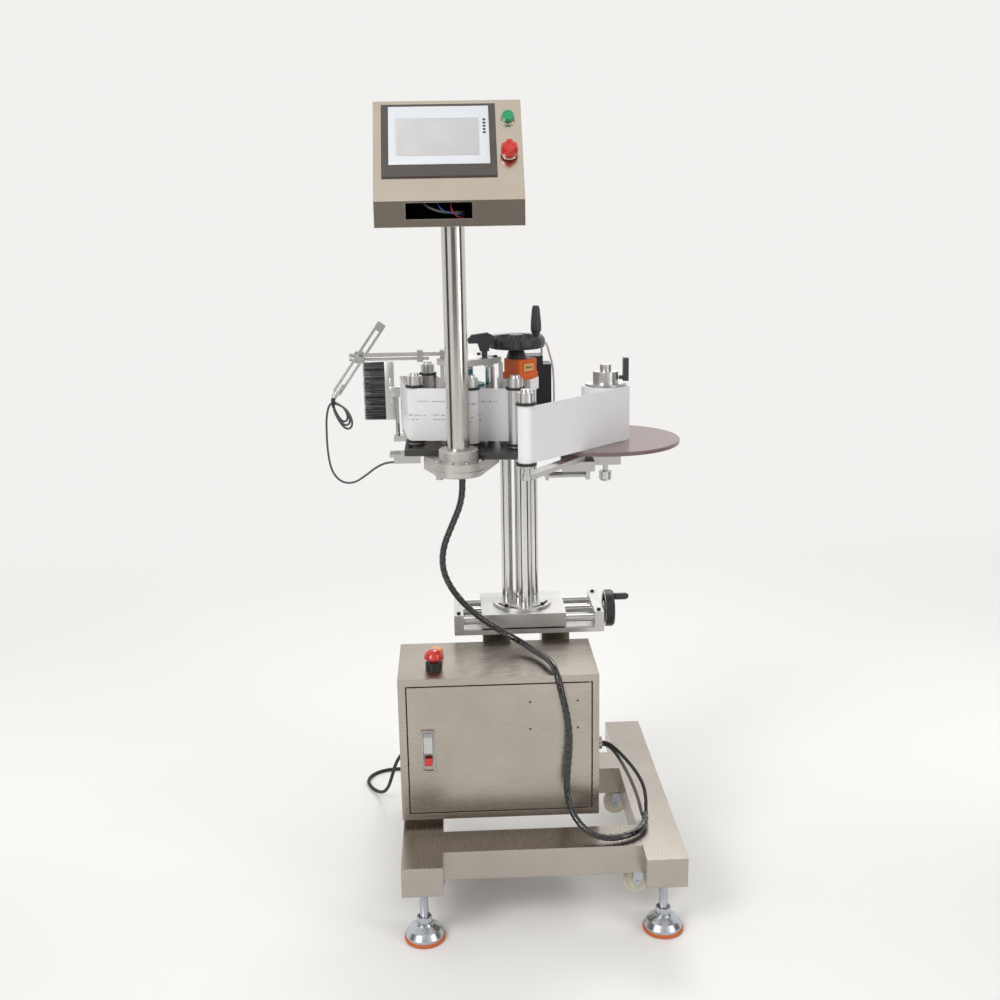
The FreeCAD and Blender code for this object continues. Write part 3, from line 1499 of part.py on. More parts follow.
def console():
    post_bottom = d.plate_bottom - d.flange_height
    post = rod("post_tube", d.post_x, d.post_y, post_bottom, d.post_radius,
               d.post_top - post_bottom)
    inside = rod("post_inside", d.post_x, d.post_y, post_bottom, d.post_radius - d.post_wall,
                 d.post_top - post_bottom)
    node("hmi_post", cut("hmi_post", post, [inside]))

    wall = d.console_wall
    top_y, top_z = on_face(d.console_slant, Size(0))
    outer = slab("console_outside", [
        (d.console_front, d.post_top),
        (d.console_back, d.post_top),
        (d.console_back, top_z),
        (top_y, top_z),
        (d.console_front, fold_z),
    ], d.console_left, d.console_width, role="YZ_Plane")
    inner = slab("console_inside", [
        (d.console_front + wall, d.post_top + wall),
        (d.console_back - wall, d.post_top + wall),
        (d.console_back - wall, top_z - wall),
        (top_y + wall * 0.6, top_z - wall),
        (d.console_front + wall, fold_z - 0.3 * wall),
    ], d.console_left + wall, d.console_width - 2 * wall, role="YZ_Plane")
    window_y, window_z = on_face(d.panel_low + 8, Size(-6))
    window = box("panel_window", d.console_left + d.panel_left + 8, window_y, window_z,
                 d.panel_width - 16, Size(14), d.panel_height - 16, console_turn)
    slot = box("wire_slot", Size(-229), d.console_front - 1, d.post_top + 14, Size(121),
               wall + 2, Size(29))
    cable_way = rod("cable_way", d.post_x, d.post_y, d.post_top, d.post_radius - d.post_wall,
                    wall)
    tools = [inner, window, slot, cable_way]
    button_x = d.console_left + d.console_width - d.button_inset
    collars = []
    for name, slant, inside in (
        ("start", d.start_slant, d.start_radius + 0.3),
        ("stop", d.stop_slant, d.console_stem_radius + d.shaft_gap),
    ):
        y, z = on_face(slant, wall + 2)
        tools.append(rod(name + "_way", button_x, y, z, d.console_stem_radius + d.shaft_gap,
                         wall + 8, button_turn))
        face_y, face_z = on_face(slant, Size(0))
        collars.append(lathe(name + "_collar", [
            (inside, Size(0)),
            (d.console_collar_radius, Size(0)),
            (d.console_collar_radius - 1, Size(3)),
            (inside, Size(3)),
        ], button_x, face_y, face_z, button_turn))
    housing = cut("console_housing", outer, tools)
    node("hmi_console", group("hmi_console", [housing] + collars))

    bezel_y, bezel_z = on_face(d.panel_low, -d.panel_proud)
    bezel = box("panel_bezel", d.console_left + d.panel_left, bezel_y, bezel_z, d.panel_width,
                d.panel_proud, d.panel_height, console_turn)
    case_y, case_z = on_face(d.panel_low + 9, Size(-1))
    case = box("panel_case", d.console_left + d.panel_left + 9, case_y, case_z,
               d.panel_width - 18, Size(34), d.panel_height - 18, console_turn)
    node("touch_panel", join("touch_panel", [bezel, case]))

    stem = d.console_stem_radius
    for name, slant, lift, profile in (
        ("start_button", d.start_slant, 3.4, [(0, 6), (2, 8)]),
        ("stop_button", d.stop_slant, 8.4, [(0, 8), (4, 13)]),
    ):
        radius = d.start_radius if name == "start_button" else d.stop_radius
        points = [(Size(0), Size(-14)), (stem, Size(-14)), (stem, Size(lift)),
                  (radius, Size(lift))]
        points += [(radius - inset, Size(lift + height)) for inset, height in profile]
        points.append((Size(0), Size(lift + profile[-1][1])))
        body = lathe(name + "_cap", points)
        put(body, turn=button_turn)
        y, z = on_face(slant, Size(0))
        node(name, body, button_x, y, z)


# Label web: one band that follows the rollers, the peel plate and the nip

def web_path():
    """Circles that the web's middle line follows: x, y, radius, turning sense."""
    off = float(d.web_gap + d.web_thick / 2)
    radius = float(d.roller_radius) + off
    return [
        (float(d.unwind_x), float(d.unwind_y), float(d.roll_radius) + off, -1),
        (float(d.dancer_x), float(d.dancer_y), radius, -1),
        (float(d.roller_d_x), float(d.roller_d_y), radius, 1),
        (float(d.roller_c_x), float(d.roller_c_y), radius, 1),
        (float(d.roller_a_x), float(d.roller_a_y), radius, -1),
        (float(d.peel_tip_x), float(d.peel_tip_y) - 1.5, 3 + off, -1),
        (float(d.roller_b_x), float(d.roller_b_y), radius, -1),
        (float(d.drive_x), float(d.drive_y), float(d.drive_radius) + off, 1),
    ]


def tangent_points(first, second):
    """Where the straight run leaves one circle and meets the next."""
    x0, y0, r0, s0 = first
    x1, y1, r1, s1 = second
    distance = math.hypot(x1 - x0, y1 - y0)
    heading = math.atan2(y1 - y0, x1 - x0) - math.asin((s1 * r1 - s0 * r0) / distance)
    normal = Vector(-math.sin(heading), math.cos(heading), 0)
    start = Vector(x0, y0, 0) - normal * (s0 * r0)
    end = Vector(x1, y1, 0) - normal * (s1 * r1)
    return start, end, heading


def web_line(circles, bottom):
    """Edges of the web's middle line, from the roll to past the nip."""
    edges = []
    runs = [tangent_points(one, two) for one, two in zip(circles, circles[1:])]
    last = circles[-1]
    nip = math.atan2(float(d.pinch_y) - last[1], float(d.pinch_x) - last[0])
    nip_point = Vector(last[0] + last[2] * math.cos(nip), last[1] + last[2] * math.sin(nip), 0)
    lift = Vector(0, 0, bottom)
    for number, (start, end, heading) in enumerate(runs):
        edges.append(Part.LineSegment(start + lift, end + lift).toShape())
        x, y, radius, sense = circles[number + 1]
        centre = Vector(x, y, 0)
        if number + 1 < len(runs):
            leave = runs[number + 1][0]
        else:
            leave = nip_point
        low = math.atan2(end.y - y, end.x - x)
        high = math.atan2(leave.y - y, leave.x - x)
        if sense > 0 and high < low:
            high += 2 * math.pi
        if sense < 0 and high > low:
            high -= 2 * math.pi
        middle = (low + high) / 2
        point = centre + Vector(radius * math.cos(middle), radius * math.sin(middle), 0)
        edges.append(Part.Arc(end + lift, point + lift, leave + lift).toShape())
    along = Vector(-math.sin(nip), math.cos(nip), 0)
    edges.append(Part.LineSegment(nip_point + lift, nip_point + along * 95 + lift).toShape())
    return edges


def label_web():
    bottom = float(d.web_bottom) + 0.5
    height = float(d.web_width) - 1
    thick = float(d.web_thick)
    solids = []
    for edge in web_line(web_path(), bottom):
        middle = (edge.FirstParameter + edge.LastParameter) / 2
        tangent = edge.tangentAt(middle)
        side = Vector(-tangent.y, tangent.x, 0).normalize() * (thick / 2)
        if isinstance(edge.Curve, Part.Circle):
            centre = edge.Curve.Center
            ends = []
            for grow in (-thick / 2, thick / 2):
                points = []
                for part in (edge.FirstParameter, middle, edge.LastParameter):
                    away = (edge.valueAt(part) - centre).normalize()
                    points.append(edge.valueAt(part) + away * grow)
                ends.append(points)
            inner, outer = ends
            wire = Part.Wire([
                Part.Arc(*inner).toShape(),
                Part.LineSegment(inner[2], outer[2]).toShape(),
                Part.Arc(*outer[::-1]).toShape(),
                Part.LineSegment(outer[0], inner[0]).toShape(),
            ])
        else:
            start = edge.valueAt(edge.FirstParameter)
            end = edge.valueAt(edge.LastParameter)
            wire = Part.makePolygon([start - side, end - side, end + side, start + side,
                                     start - side])
        solids.append(Part.Face(wire).extrude(Vector(0, 0, height)))
    band = solids[0].multiFuse(solids[1:])
    item = doc.addObject("Part::Feature", "web_band")
    item.Shape = band.removeSplitter()
    put(item)
    node("label_web", item)


# Cords: plain tubes of straight runs and tangent arcs, and closed solids for the coils

HARNESS_ROUTE = [
    (-139, -49, 905), (-137, -49, 868), (-141, -44, 820), (-161, -34, 772), (-181, -24, 722),
    (-183, -13, 672), (-165, -3, 626), (-134, 7, 583), (-93, 17, 544), (-50, 14, 518),
    (-12, -20, 505), (14, -68, 503), (30, -112, 506), (39, -153, 494), (48, -170, 452),
    (59, -172, 400), (62, -172, 350), (57, -174, 300), (53, -183, 254), (63, -205, 216),
    (88, -236, 194), (128, -248, 184), (170, -238, 184), (201, -214, 185), (214, -184, 188),
    (214, -164, 188),
]
TAIL_ROUTES = [
    [(218.6, -164, 188), (218.6, -150, 188), (222, -134, 206), (219, -113, 231),
     (199, -98, 262), (170, -80, 291), (150, -65, 303), (139, -65, 303)],
    [(209.4, -164, 188), (209.4, -150, 188), (206, -133, 207), (195, -112, 236),
     (180, -91, 264), (164, -69, 286), (149, -56, 294), (139, -56, 294)],
]
SENSOR_ROUTE = [
    (-391.5, 38.3, 1024.2), (-402, 41, 1010), (-409, 48, 984), (-411, 56, 946), (-411, 60, 906),
    (-405, 60, 868), (-387, 60, 845), (-361, 60, 842), (-336, 58, 858), (-313, 50, 877),
    (-290, 40, 889), (-276, 38, 889),
]
SPARE_LOOP = [
    (-393, 38.3, 1013), (-391, 38.3, 998), (-384, 38.3, 981), (-374, 38.3, 965),
    (-364, 38.3, 960), (-356, 38.3, 967), (-357, 38.3, 983), (-366, 38.3, 1000),
    (-380, 38.3, 1010),
]
POWER_ROUTE = [
    (-240, 69.3, 230), (-241, 100, 227), (-248, 134, 212), (-266, 165, 195), (-291, 190, 172),
    (-309, 215, 132), (-320, 242, 86), (-332, 270, 42), (-350, 305, 12), (-376, 345, 4.2),
    (-391, 388, 4.2), (-375, 428, 4.2), (-333, 449, 4.2), (-281, 444, 4.2), (-229, 436, 4.2),
    (-187, 444, 4.2), (-148.6, 450, 4.2),
]


def corner_arc(before, corner, after):
    """Tangent points and radius of the arc that rounds one corner of a route."""
    back = before - corner
    ahead = after - corner
    shorter = min(back.Length, ahead.Length)
    turn = math.pi - back.getAngle(ahead)
    radius = 0.45 * shorter / math.tan(turn / 2)
    reach = radius * math.tan(turn / 2)
    start = corner + back.normalize() * reach
    end = corner + ahead.normalize() * reach
    bisector = (back + ahead).normalize()
    centre = corner + bisector * math.hypot(radius, reach)
    middle = centre - bisector * radius
    return start, middle, end, radius


def cord_tube(name, route, radius):
    """A round tube along a route of points."""
    points = [Vector(*point) for point in route]
    edges = []
    radii = []
    here = points[0]
    for before, corner, after in zip(points, points[1:], points[2:]):
        start, middle, end, bend = corner_arc(before, corner, after)
        edges.append(Part.LineSegment(here, start).toShape())
        edges.append(Part.Arc(start, middle, end).toShape())
        radii.append(bend)
        here = end
    edges.append(Part.LineSegment(here, points[-1]).toShape())
    path = Part.Wire(edges)
    ring = Part.Circle(points[0], points[1] - points[0], radius).toShape()
    tube = path.makePipeShell([Part.Wire([ring])], True, False)
    ratio = tube.Volume / (math.pi * radius ** 2 * path.Length)
    print(f"{name}: length {path.Length:.0f}, least radius {min(radii):.0f},"
          f" volume ratio {ratio:.4f}")
    return tube


def cord_node(name, shapes):
    item = doc.addObject("Part::Feature", name + "_cord")
    item.Shape = shapes[0] if len(shapes) == 1 else Part.makeCompound(shapes)
    put(item)
    node(name, item)


def cords():
    tubes = [cord_tube("harness", HARNESS_ROUTE, float(d.harness_radius))]
    for count, route in enumerate(TAIL_ROUTES, start=1):
        tubes.append(cord_tube(f"harness tail {count}", route, float(d.tail_radius)))
    cord_node("harness", tubes)
    lead = cord_tube("sensor cable", SENSOR_ROUTE, float(d.sensor_cable_radius))
    bundle = cord_tube("spare loop", SPARE_LOOP, float(d.spare_loop_radius))
    cord_node("sensor_cable", [lead.fuse(bundle)])
    power = cord_tube("power cable", POWER_ROUTE, float(d.power_radius))
    coil_x, coil_y = -95.0, 450.0
    outer = float(d.power_coil_mean) / 2 + 2 * float(d.power_radius)
    inner = float(d.power_coil_mean) / 2 - 2 * float(d.power_radius)
    height = 6 * 2 * float(d.power_radius)
    ring = Part.makeCylinder(outer, height, Vector(coil_x, coil_y, 0.2))
    ring = ring.cut(Part.makeCylinder(inner, height, Vector(coil_x, coil_y, 0.2)))
    cord_node("power_cable", [power])
    cord_node("power_coil", [ring])
    plug_x = coil_x + outer
    plug = lathe("plug_barrel", [
        (Size(0), Size(0)),
        (d.power_radius + 2, Size(0)),
        (Size(13), Size(22)),
        (Size(20), Size(30)),
        (Size(20), Size(52)),
        (Size(0), Size(52)),
    ], Size(plug_x + 0.4), Size(coil_y), Size(20.3), TURNS["x"])
    pins = [rod(f"plug_pin_{side}", Size(plug_x + 52), Size(coil_y + side * 9.5), Size(20.3),
                Size(2.4), Size(19), "x") for side in (-1, 1)]
    node("power_plug", join("power_plug", [plug] + pins))


base_frame()
levelling_feet()
for place in caster_places():
    caster(*place)
cabinet_body()
control_gear()
lid_fittings()
cabinet_door()
slide()
tower()
head_plate()
post_socket()
bearing_blocks()
rollers()
dancer()
unwind_unit()
traction()
peel_plate()
adjusting_rods()
brush()
product_sensor()
drive_motor()
console()
label_web()
cords()

doc.recompute()
failed = [item.Name for item in doc.Objects if "Invalid" in item.State or "Error" in item.State]
for item in nodes:
    if item.Shape.isNull() or not item.Shape.isValid():
        failed.append(item.Label)
if failed:
    raise ValueError("these objects failed: " + ", ".join(failed))

os.makedirs("parts", exist_ok=True)
for item in nodes:
    item.Shape.exportStep(f"parts/{item.Label}.step")
print(len(nodes), "sub-parts written")
extent = FreeCAD.BoundBox()
for item in nodes:
    if item.Label not in ("harness", "sensor_cable", "power_cable", "power_coil", "power_plug"):
        extent.add(item.Shape.BoundBox)
print("extent", extent)
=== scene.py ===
# %% [markdown]
# Box labelling machine, dressed for a picture.
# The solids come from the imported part. They already have the right size and place, so this
# script keeps them, gives each one the finish of the real metal, plastic or paper, and adds
# the small things that a solid model leaves out: screws, threads, bristles, screens, wires.
# Lengths are written in millimetres from the middle of the base, as on a workshop drawing.

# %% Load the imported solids
import math

import bpy
from mathutils import Matrix, Quaternion, Vector


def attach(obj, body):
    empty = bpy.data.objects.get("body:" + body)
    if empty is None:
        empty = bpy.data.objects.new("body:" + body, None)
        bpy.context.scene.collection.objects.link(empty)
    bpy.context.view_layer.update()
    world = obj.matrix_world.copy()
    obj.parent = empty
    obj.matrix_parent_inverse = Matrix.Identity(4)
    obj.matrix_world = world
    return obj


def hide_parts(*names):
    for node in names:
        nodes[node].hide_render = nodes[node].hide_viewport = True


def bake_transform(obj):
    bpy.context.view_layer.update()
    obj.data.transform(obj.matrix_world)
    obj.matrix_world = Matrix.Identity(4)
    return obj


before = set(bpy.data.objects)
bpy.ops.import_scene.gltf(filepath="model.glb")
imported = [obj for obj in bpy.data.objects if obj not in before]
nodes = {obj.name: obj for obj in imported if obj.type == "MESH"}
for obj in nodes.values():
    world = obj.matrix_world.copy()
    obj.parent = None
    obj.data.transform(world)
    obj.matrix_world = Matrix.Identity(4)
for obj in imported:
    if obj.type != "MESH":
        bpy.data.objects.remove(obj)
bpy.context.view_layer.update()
MM = 0.001
SHIFT = 44.8395
print(len(nodes), "solids loaded")

# %% [markdown]
# A drawing in millimetres and a scene in metres need one translator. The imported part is
# centred on its box with the cords in it, which moves everything a little along X.

# %% Places in millimetres


def at(x, y, z):
    """A point of the drawing as a point of the scene."""
    return Vector(((x + SHIFT) * MM, y * MM, z * MM))


def only(*things):
    """Leaves edit mode and selects just these objects."""
    if bpy.context.mode != "OBJECT":
        bpy.ops.object.mode_set(mode="OBJECT")
    bpy.ops.object.select_all(action="DESELECT")
    for thing in things:
        thing.select_set(True)
        bpy.context.view_layer.objects.active = thing


only()
print("origin of the drawing in the scene:", tuple(round(v, 4) for v in at(0, 0, 0)))

# %% [markdown]
# The camera comes first, because cords are laid with its view in mind. The photograph was
# taken from a little above, 2.4 m away, tipped 14 degrees down and turned 2 degrees.

# %% Camera
CAMERA_PLACE = (-0.1079, -2.3682, 1.4041)
CAMERA_PITCH = math.radians(14.0)
CAMERA_YAW = math.radians(2.19)
CAMERA_ROLL = math.radians(-1.01)
camera_data = bpy.data.cameras.new("studio_camera")
camera_data.lens = 43.32
camera_data.sensor_width = 36
camera = bpy.data.objects.new("studio_camera", camera_data)
bpy.context.collection.objects.link(camera)
camera.location = CAMERA_PLACE
look = Matrix.Rotation(-CAMERA_YAW, 4, "Z") @ Matrix.Rotation(math.pi / 2 - CAMERA_PITCH, 4, "X")
camera.rotation_euler = (look @ Matrix.Rotation(CAMERA_ROLL, 4, "Z")).to_euler()
bpy.context.scene.camera = camera
print("lens", camera_data.lens, "mm")

# %% [markdown]
# Every finish is a small graph of nodes. One function adds a node, sets it up and links it,
# and one turns the colour written in a design program into the linear light that a
# renderer works with.

# %% Node and colour helpers


def linear(code):
    """An sRGB hex colour as linear RGBA."""
    parts = [int(code[i:i + 2], 16) / 255 for i in (1, 3, 5)]
    light = [p / 12.92 if p <= 0.04045 else ((p + 0.055) / 1.055) ** 2.4 for p in parts]
    return (*light, 1.0)


def add(owner, kind, inputs=None, **settings):
    """Adds one node. Its inputs are values, sockets, or nodes that give their first output."""
    node = owner.node_tree.nodes.new("ShaderNode" + kind)
    for name, value in settings.items():
        setattr(node, name, value)
    for name, value in (inputs or {}).items():
        if isinstance(value, bpy.types.Node):
            value = value.outputs[0]
        if isinstance(value, bpy.types.NodeSocket):
            owner.node_tree.links.new(value, node.inputs[name])
        else:
            node.inputs[name].default_value = value
    return node


def blank(name):
    """A new material with an empty graph, and the place in it that patterns are read from."""
    material = bpy.data.materials.new(name)
    material.use_nodes = True
    material.node_tree.nodes.clear()
    return material, add(material, "TexCoord").outputs["Object"]


def finish_graph(material, shader):
    """Joins the last shader to the material's output."""
    add(material, "OutputMaterial", {"Surface": shader})
    return material


print("node helper ready")

# %% [markdown]
# Most finishes share one build: clouds of two close tones, a fine grain that stands up a
# little, and a bevel node that rounds the look of each sharp edge by about a millimetre. That
# thin bright line along the edges is what makes metal look real. Brushing leaves parallel
# scratches, so there the grain is stretched along one axis.

# %% Metal finishes
EVEN = (1, 1, 1)
SCRATCH_LENGTH = 14
METAL = {"Metallic": 1.0}


def surface(name, light, dark, fine, cloud, rough, relief, edge, extra, gloss_by_cloud=False):
    """Clouds of two tones under a fine grain, with softly rounded edges.

    fine is the grain's stretch, scale and detail, cloud is a scale and detail, rough is the
    lowest and highest roughness, relief is a strength and a depth in metres.
    """
    material, place = blank(name)
    stretch = add(material, "Mapping", {0: place, 3: fine[0]})
    grain = add(material, "TexNoise", {"Vector": stretch, "Scale": fine[1], "Detail": fine[2]})
    patch = add(material, "TexNoise", {"Vector": place, "Scale": cloud[0], "Detail": cloud[1]})
    tint = add(material, "Mix", {0: patch, 6: linear(dark), 7: linear(light)}, data_type="RGBA")
    dull = add(material, "MapRange", {0: patch if gloss_by_cloud else grain, 1: 0.3, 2: 0.7,
                                      3: rough[0], 4: rough[1]})
    corner = add(material, "Bevel", {"Radius": edge * MM}, samples=4)
    bump = add(material, "Bump", {"Strength": relief[0], "Distance": relief[1], "Height": grain,
                                  "Normal": corner})
    return finish_graph(material, add(material, "BsdfPrincipled", {
        "Base Color": tint.outputs[2], "Roughness": dull, "Normal": bump, **extra}))


def brushed_metal(name, light, dark, roughness, along, grain=0.9, edge=0.9):
    """Ground or brushed metal: scratches run along the given axis, grain in millimetres."""
    stretch = [1000 / grain] * 3
    stretch["xyz".index(along)] = SCRATCH_LENGTH
    return surface(name, light, dark, (stretch, 1.0, 3.0), (7.0, 4.0),
                   (roughness - 0.005, roughness + 0.01), (0.01, 0.0002), edge, METAL)


def satin_metal(name, light, dark, roughness, grit=0.9, depth=0.1, edge=0.9):
    """Blasted, cast or anodised metal: even fine grit, in millimetres, with no direction."""
    return surface(name, light, dark, (EVEN, 1000 / grit, 2.0), (11.0, 5.0),
                   (roughness - 0.05, roughness + 0.06), (depth, 0.0004), edge, METAL, True)


stainless_x = brushed_metal("brushed_stainless_sheet_x", "#C0B8AE", "#A49B91", 0.27, "x",
                            edge=1.5)
warm_stainless = brushed_metal("brushed_stainless_console", "#D8CEC0", "#C4B9A9", 0.22, "x",
                               edge=1.2)
stainless_z = brushed_metal("brushed_stainless_tube_z", "#DAD7D2", "#C0BCB6", 0.19, "z")
stainless_y = brushed_metal("brushed_stainless_tube_y", "#BFB8AF", "#A59D94", 0.27, "y",
                            edge=1.6)
ground_steel = brushed_metal("ground_steel_rod", "#D2D1CE", "#B4B3B0", 0.22, "x", 1.2, 0.4)
chromed_steel = brushed_metal("hard_chromed_column", "#E2E1DF", "#CBCAC8", 0.14, "z", 2.5, 0.6)
clear_anodised = satin_metal("clear_anodised_aluminium", "#D4D3D1", "#BDBCBA", 0.36)
turned_aluminium = brushed_metal("turned_aluminium", "#DDDCDA", "#C4C3C1", 0.30, "z", 1.2, 0.5)
dark_anodised = satin_metal("dark_anodised_plate", "#5C5B59", "#494846", 0.42)
cast_socket = satin_metal("sprayed_casting", "#D2CFCA", "#B8B4AE", 0.50, 1.4, 0.25, 1.4)
zinc_plate = satin_metal("zinc_plated_steel", "#CFD2D8", "#AEB3BB", 0.26, 1.5, 0.06, 0.7)
black_oxide = satin_metal("black_oxide_screw", "#3A3938", "#232322", 0.35, 0.8, 0.1, 0.3)
print("metals ready")

# %% [markdown]
# Plastic, rubber and paint are not metal: a coloured body under a clear gloss or a matt skin.
# Moulded parts have a spark-eroded grain of about half a millimetre, drawn a little coarser
# here so that it shows.

# %% Moulded and rubber finishes


def moulded(name, light, dark, roughness, grain=0.9, depth=0.12, coat=0.0, edge=0.8):
    """Injection moulded plastic or rubber with a fine grain, in millimetres."""
    return surface(name, light, dark, (EVEN, 1000 / grain, 2.0), (16.0, 4.0),
                   (roughness - 0.05, roughness + 0.08), (depth, 0.0003), edge,
                   {"Coat Weight": coat, "Coat Roughness": 0.08})


black_nylon = moulded("black_nylon_handle", "#3C3C3F", "#2A2A2C", 0.36)
black_gloss = moulded("black_gloss_wrap", "#161617", "#0C0C0D", 0.16, 3.0, 0.05, 0.6)
black_rubber = moulded("black_nitrile_rubber", "#262525", "#1A1A1A", 0.60, 1.2, 0.2)
grey_sheath = moulded("grey_cable_sheath", "#5E5D5C", "#3F3E3D", 0.40)
motor_paint = moulded("dark_motor_paint", "#34353B", "#27282D", 0.40, 1.2, 0.15)
indicator_orange = moulded("orange_polyamide", "#F0752A", "#DE5F18", 0.38, 1.2, 0.12)
wheel_nylon = moulded("cream_nylon_wheel", "#E6E0CF", "#CFC7B2", 0.42, 1.2, 0.1)
signal_red = moulded("signal_red_button", "#D22A22", "#B81C17", 0.28, 1.5, 0.06, 0.5)
signal_green = moulded("signal_green_button", "#14A06A", "#0B8455", 0.28, 1.5, 0.06, 0.5)
amber_lens = moulded("amber_lamp_lens", "#F0A024", "#D98312", 0.22, 2.0, 0.05, 0.6)
teal_rubber = moulded("teal_silicone_rubber", "#1E8C9C", "#14727F", 0.46, 1.6, 0.2)
gear_grey = moulded("grey_module_case", "#8F9193", "#7A7C7E", 0.46)
membrane_silver = moulded("silver_front_film", "#E3E6EA", "#D2D6DB", 0.34, 1.4, 0.05)
bezel_grey = moulded("graphite_panel_frame", "#57504C", "#474140", 0.44, 1.4, 0.12)
print("plastics ready")

# %% [markdown]
# Nylon bristles are drawn as dark and light streaks that run along them, on top of the
# modelled rows, because most single bristles are finer than a pixel. The dark streaks are the
# black nylon's own colour; the light grey ones are painted sheen, where fibres catch the light.

# %% Bristles
bristle_black, bristle_place = blank("black_nylon_bristle")
stretch = add(bristle_black, "Mapping", {0: bristle_place, 3: (5, 260, 620)})
streak = add(bristle_black, "TexNoise", {"Vector": stretch, "Scale": 1.0, "Detail": 2.0})
share = add(bristle_black, "MapRange", {0: streak, 1: 0.42, 2: 0.7})
# Light grey streaks between the black ones: painted sheen on the fibres.
tint = add(bristle_black, "Mix", {0: share, 6: linear("#1A1A1B"), 7: linear("#8C8D92")},
           data_type="RGBA")
shine = add(bristle_black, "MapRange", {0: streak, 3: 0.5, 4: 0.25})
finish_graph(bristle_black, add(bristle_black, "BsdfPrincipled", {
    "Base Color": tint.outputs[2], "Roughness": shine}))
print("bristles ready")

# %% [markdown]
# The web is a paper strip with labels on it. Each label carries a few short rows of
# generic marks, as a date printer leaves them. The rows lie at fixed heights, fine noise
# breaks them into strokes and coarse noise leaves gaps between the groups.

# %% Printed label paper
ROW_HEIGHTS = (1012, 984, 975)
ROW_HALF = 1.5
PRINT_ENDS_X = -40


def label_paper(name, mark_strength):
    """White coated paper with faint rows of strokes at fixed heights."""
    material, place = blank(name)
    axes = add(material, "SeparateXYZ", {0: place})
    rows = 0.0
    for height in ROW_HEIGHTS:
        away = add(material, "Math", {0: axes.outputs["Z"], 1: height * MM},
                   operation="SUBTRACT")
        size = add(material, "Math", {0: away}, operation="ABSOLUTE")
        near = add(material, "Math", {0: size, 1: ROW_HALF * MM}, operation="LESS_THAN")
        rows = add(material, "Math", {0: rows, 1: near}, operation="MAXIMUM")
    stroke = add(material, "TexNoise", {"Vector": place, "Scale": 420.0, "Detail": 1.0})
    inked = add(material, "Math", {0: stroke, 1: 0.52}, operation="GREATER_THAN")
    block = add(material, "TexNoise", {"Vector": place, "Scale": 28.0, "Detail": 0.0})
    group = add(material, "Math", {0: block, 1: 0.46}, operation="GREATER_THAN")
    printed = add(material, "Math", {0: axes.outputs["X"], 1: (PRINT_ENDS_X + SHIFT) * MM},
                  operation="LESS_THAN")
    amount = mark_strength
    for mask in (rows, inked, group, printed):
        amount = add(material, "Math", {0: amount, 1: mask}, operation="MULTIPLY")
    cloud = add(material, "TexNoise", {"Vector": place, "Scale": 9.0, "Detail": 3.0})
    paper = add(material, "Mix", {0: cloud, 6: linear("#E4E3E6"), 7: linear("#EFEEEF")},
                data_type="RGBA")
    tint = add(material, "Mix", {0: amount, 6: paper.outputs[2], 7: linear("#55545A")},
               data_type="RGBA")
    fibre = add(material, "TexNoise", {"Vector": place, "Scale": 900.0, "Detail": 3.0})
    relief = add(material, "Bump", {"Strength": 0.01, "Distance": 0.0002, "Height": fibre})
    return finish_graph(material, add(material, "BsdfPrincipled", {
        "Base Color": tint.outputs[2], "Roughness": 0.38, "Normal": relief}))


printed_paper = label_paper("printed_label_paper", 0.75)
print("paper ready")

# %% [markdown]
# The roll shows its windings on the end face as fine rings, and its side is plain white
# label paper. Rings are a function of the distance from the core, so the pattern is moved
# to the roll's axis by a Mapping node and read as a ring wave.

# %% Wound paper roll
ROLL_X, ROLL_Y = 156, 30
wound_paper, roll_place = blank("wound_label_roll")
centre = add(wound_paper, "Mapping", {0: roll_place, 1: [-(ROLL_X + SHIFT) * MM, -ROLL_Y * MM, 0]})
wave = add(wound_paper, "TexWave", {"Vector": centre, "Scale": 120.0, "Distortion": 0.4,
                                    "Detail": 1.0}, wave_type="RINGS", rings_direction="Z")
rings = wave.outputs["Fac"]
tint = add(wound_paper, "Mix", {0: rings, 6: linear("#D5D4D6"), 7: linear("#EEEDEE")},
           data_type="RGBA")
relief = add(wound_paper, "Bump", {"Strength": 0.2, "Distance": 0.0003, "Height": rings})
finish_graph(wound_paper, add(wound_paper, "BsdfPrincipled", {
    "Base Color": tint.outputs[2], "Roughness": 0.5, "Normal": relief}))
print("wound paper ready")

# %% [markdown]
# The supply disc is smoke-tinted acrylic: clear in depth, glossy on top, pinkish brown. A
# sheet of cast acrylic has an index of refraction of 1.49. Faint hairline scratches from
# hands and rolls keep its surface from looking like perfect glass.

# %% Tinted acrylic and screen glass
tinted_acrylic, acrylic_place = blank("tinted_cast_acrylic")
hairline = add(tinted_acrylic, "TexNoise", {"Vector": acrylic_place, "Scale": 60.0,
                                            "Detail": 6.0})
dull = add(tinted_acrylic, "MapRange", {0: hairline, 1: 0.3, 2: 0.7, 3: 0.04, 4: 0.16})
corner = add(tinted_acrylic, "Bevel", {"Radius": 0.0012}, samples=4)
finish_graph(tinted_acrylic, add(tinted_acrylic, "BsdfPrincipled", {
    "Base Color": linear("#9F8686"), "Roughness": dull, "IOR": 1.49,
    "Transmission Weight": 0.55, "Normal": corner}))

screen_glass, glass_place = blank("matt_screen_glass")
cloud = add(screen_glass, "TexNoise", {"Vector": glass_place, "Scale": 14.0, "Detail": 1.0})
tint = add(screen_glass, "Mix", {0: cloud, 6: linear("#B4B3B7"), 7: linear("#D4D2CF")},
           data_type="RGBA")
finish_graph(screen_glass, add(screen_glass, "BsdfPrincipled", {
    "Base Color": tint.outputs[2], "Roughness": 0.22, "Coat Weight": 0.8,
    "Coat Roughness": 0.1}))
print("clear finishes ready")
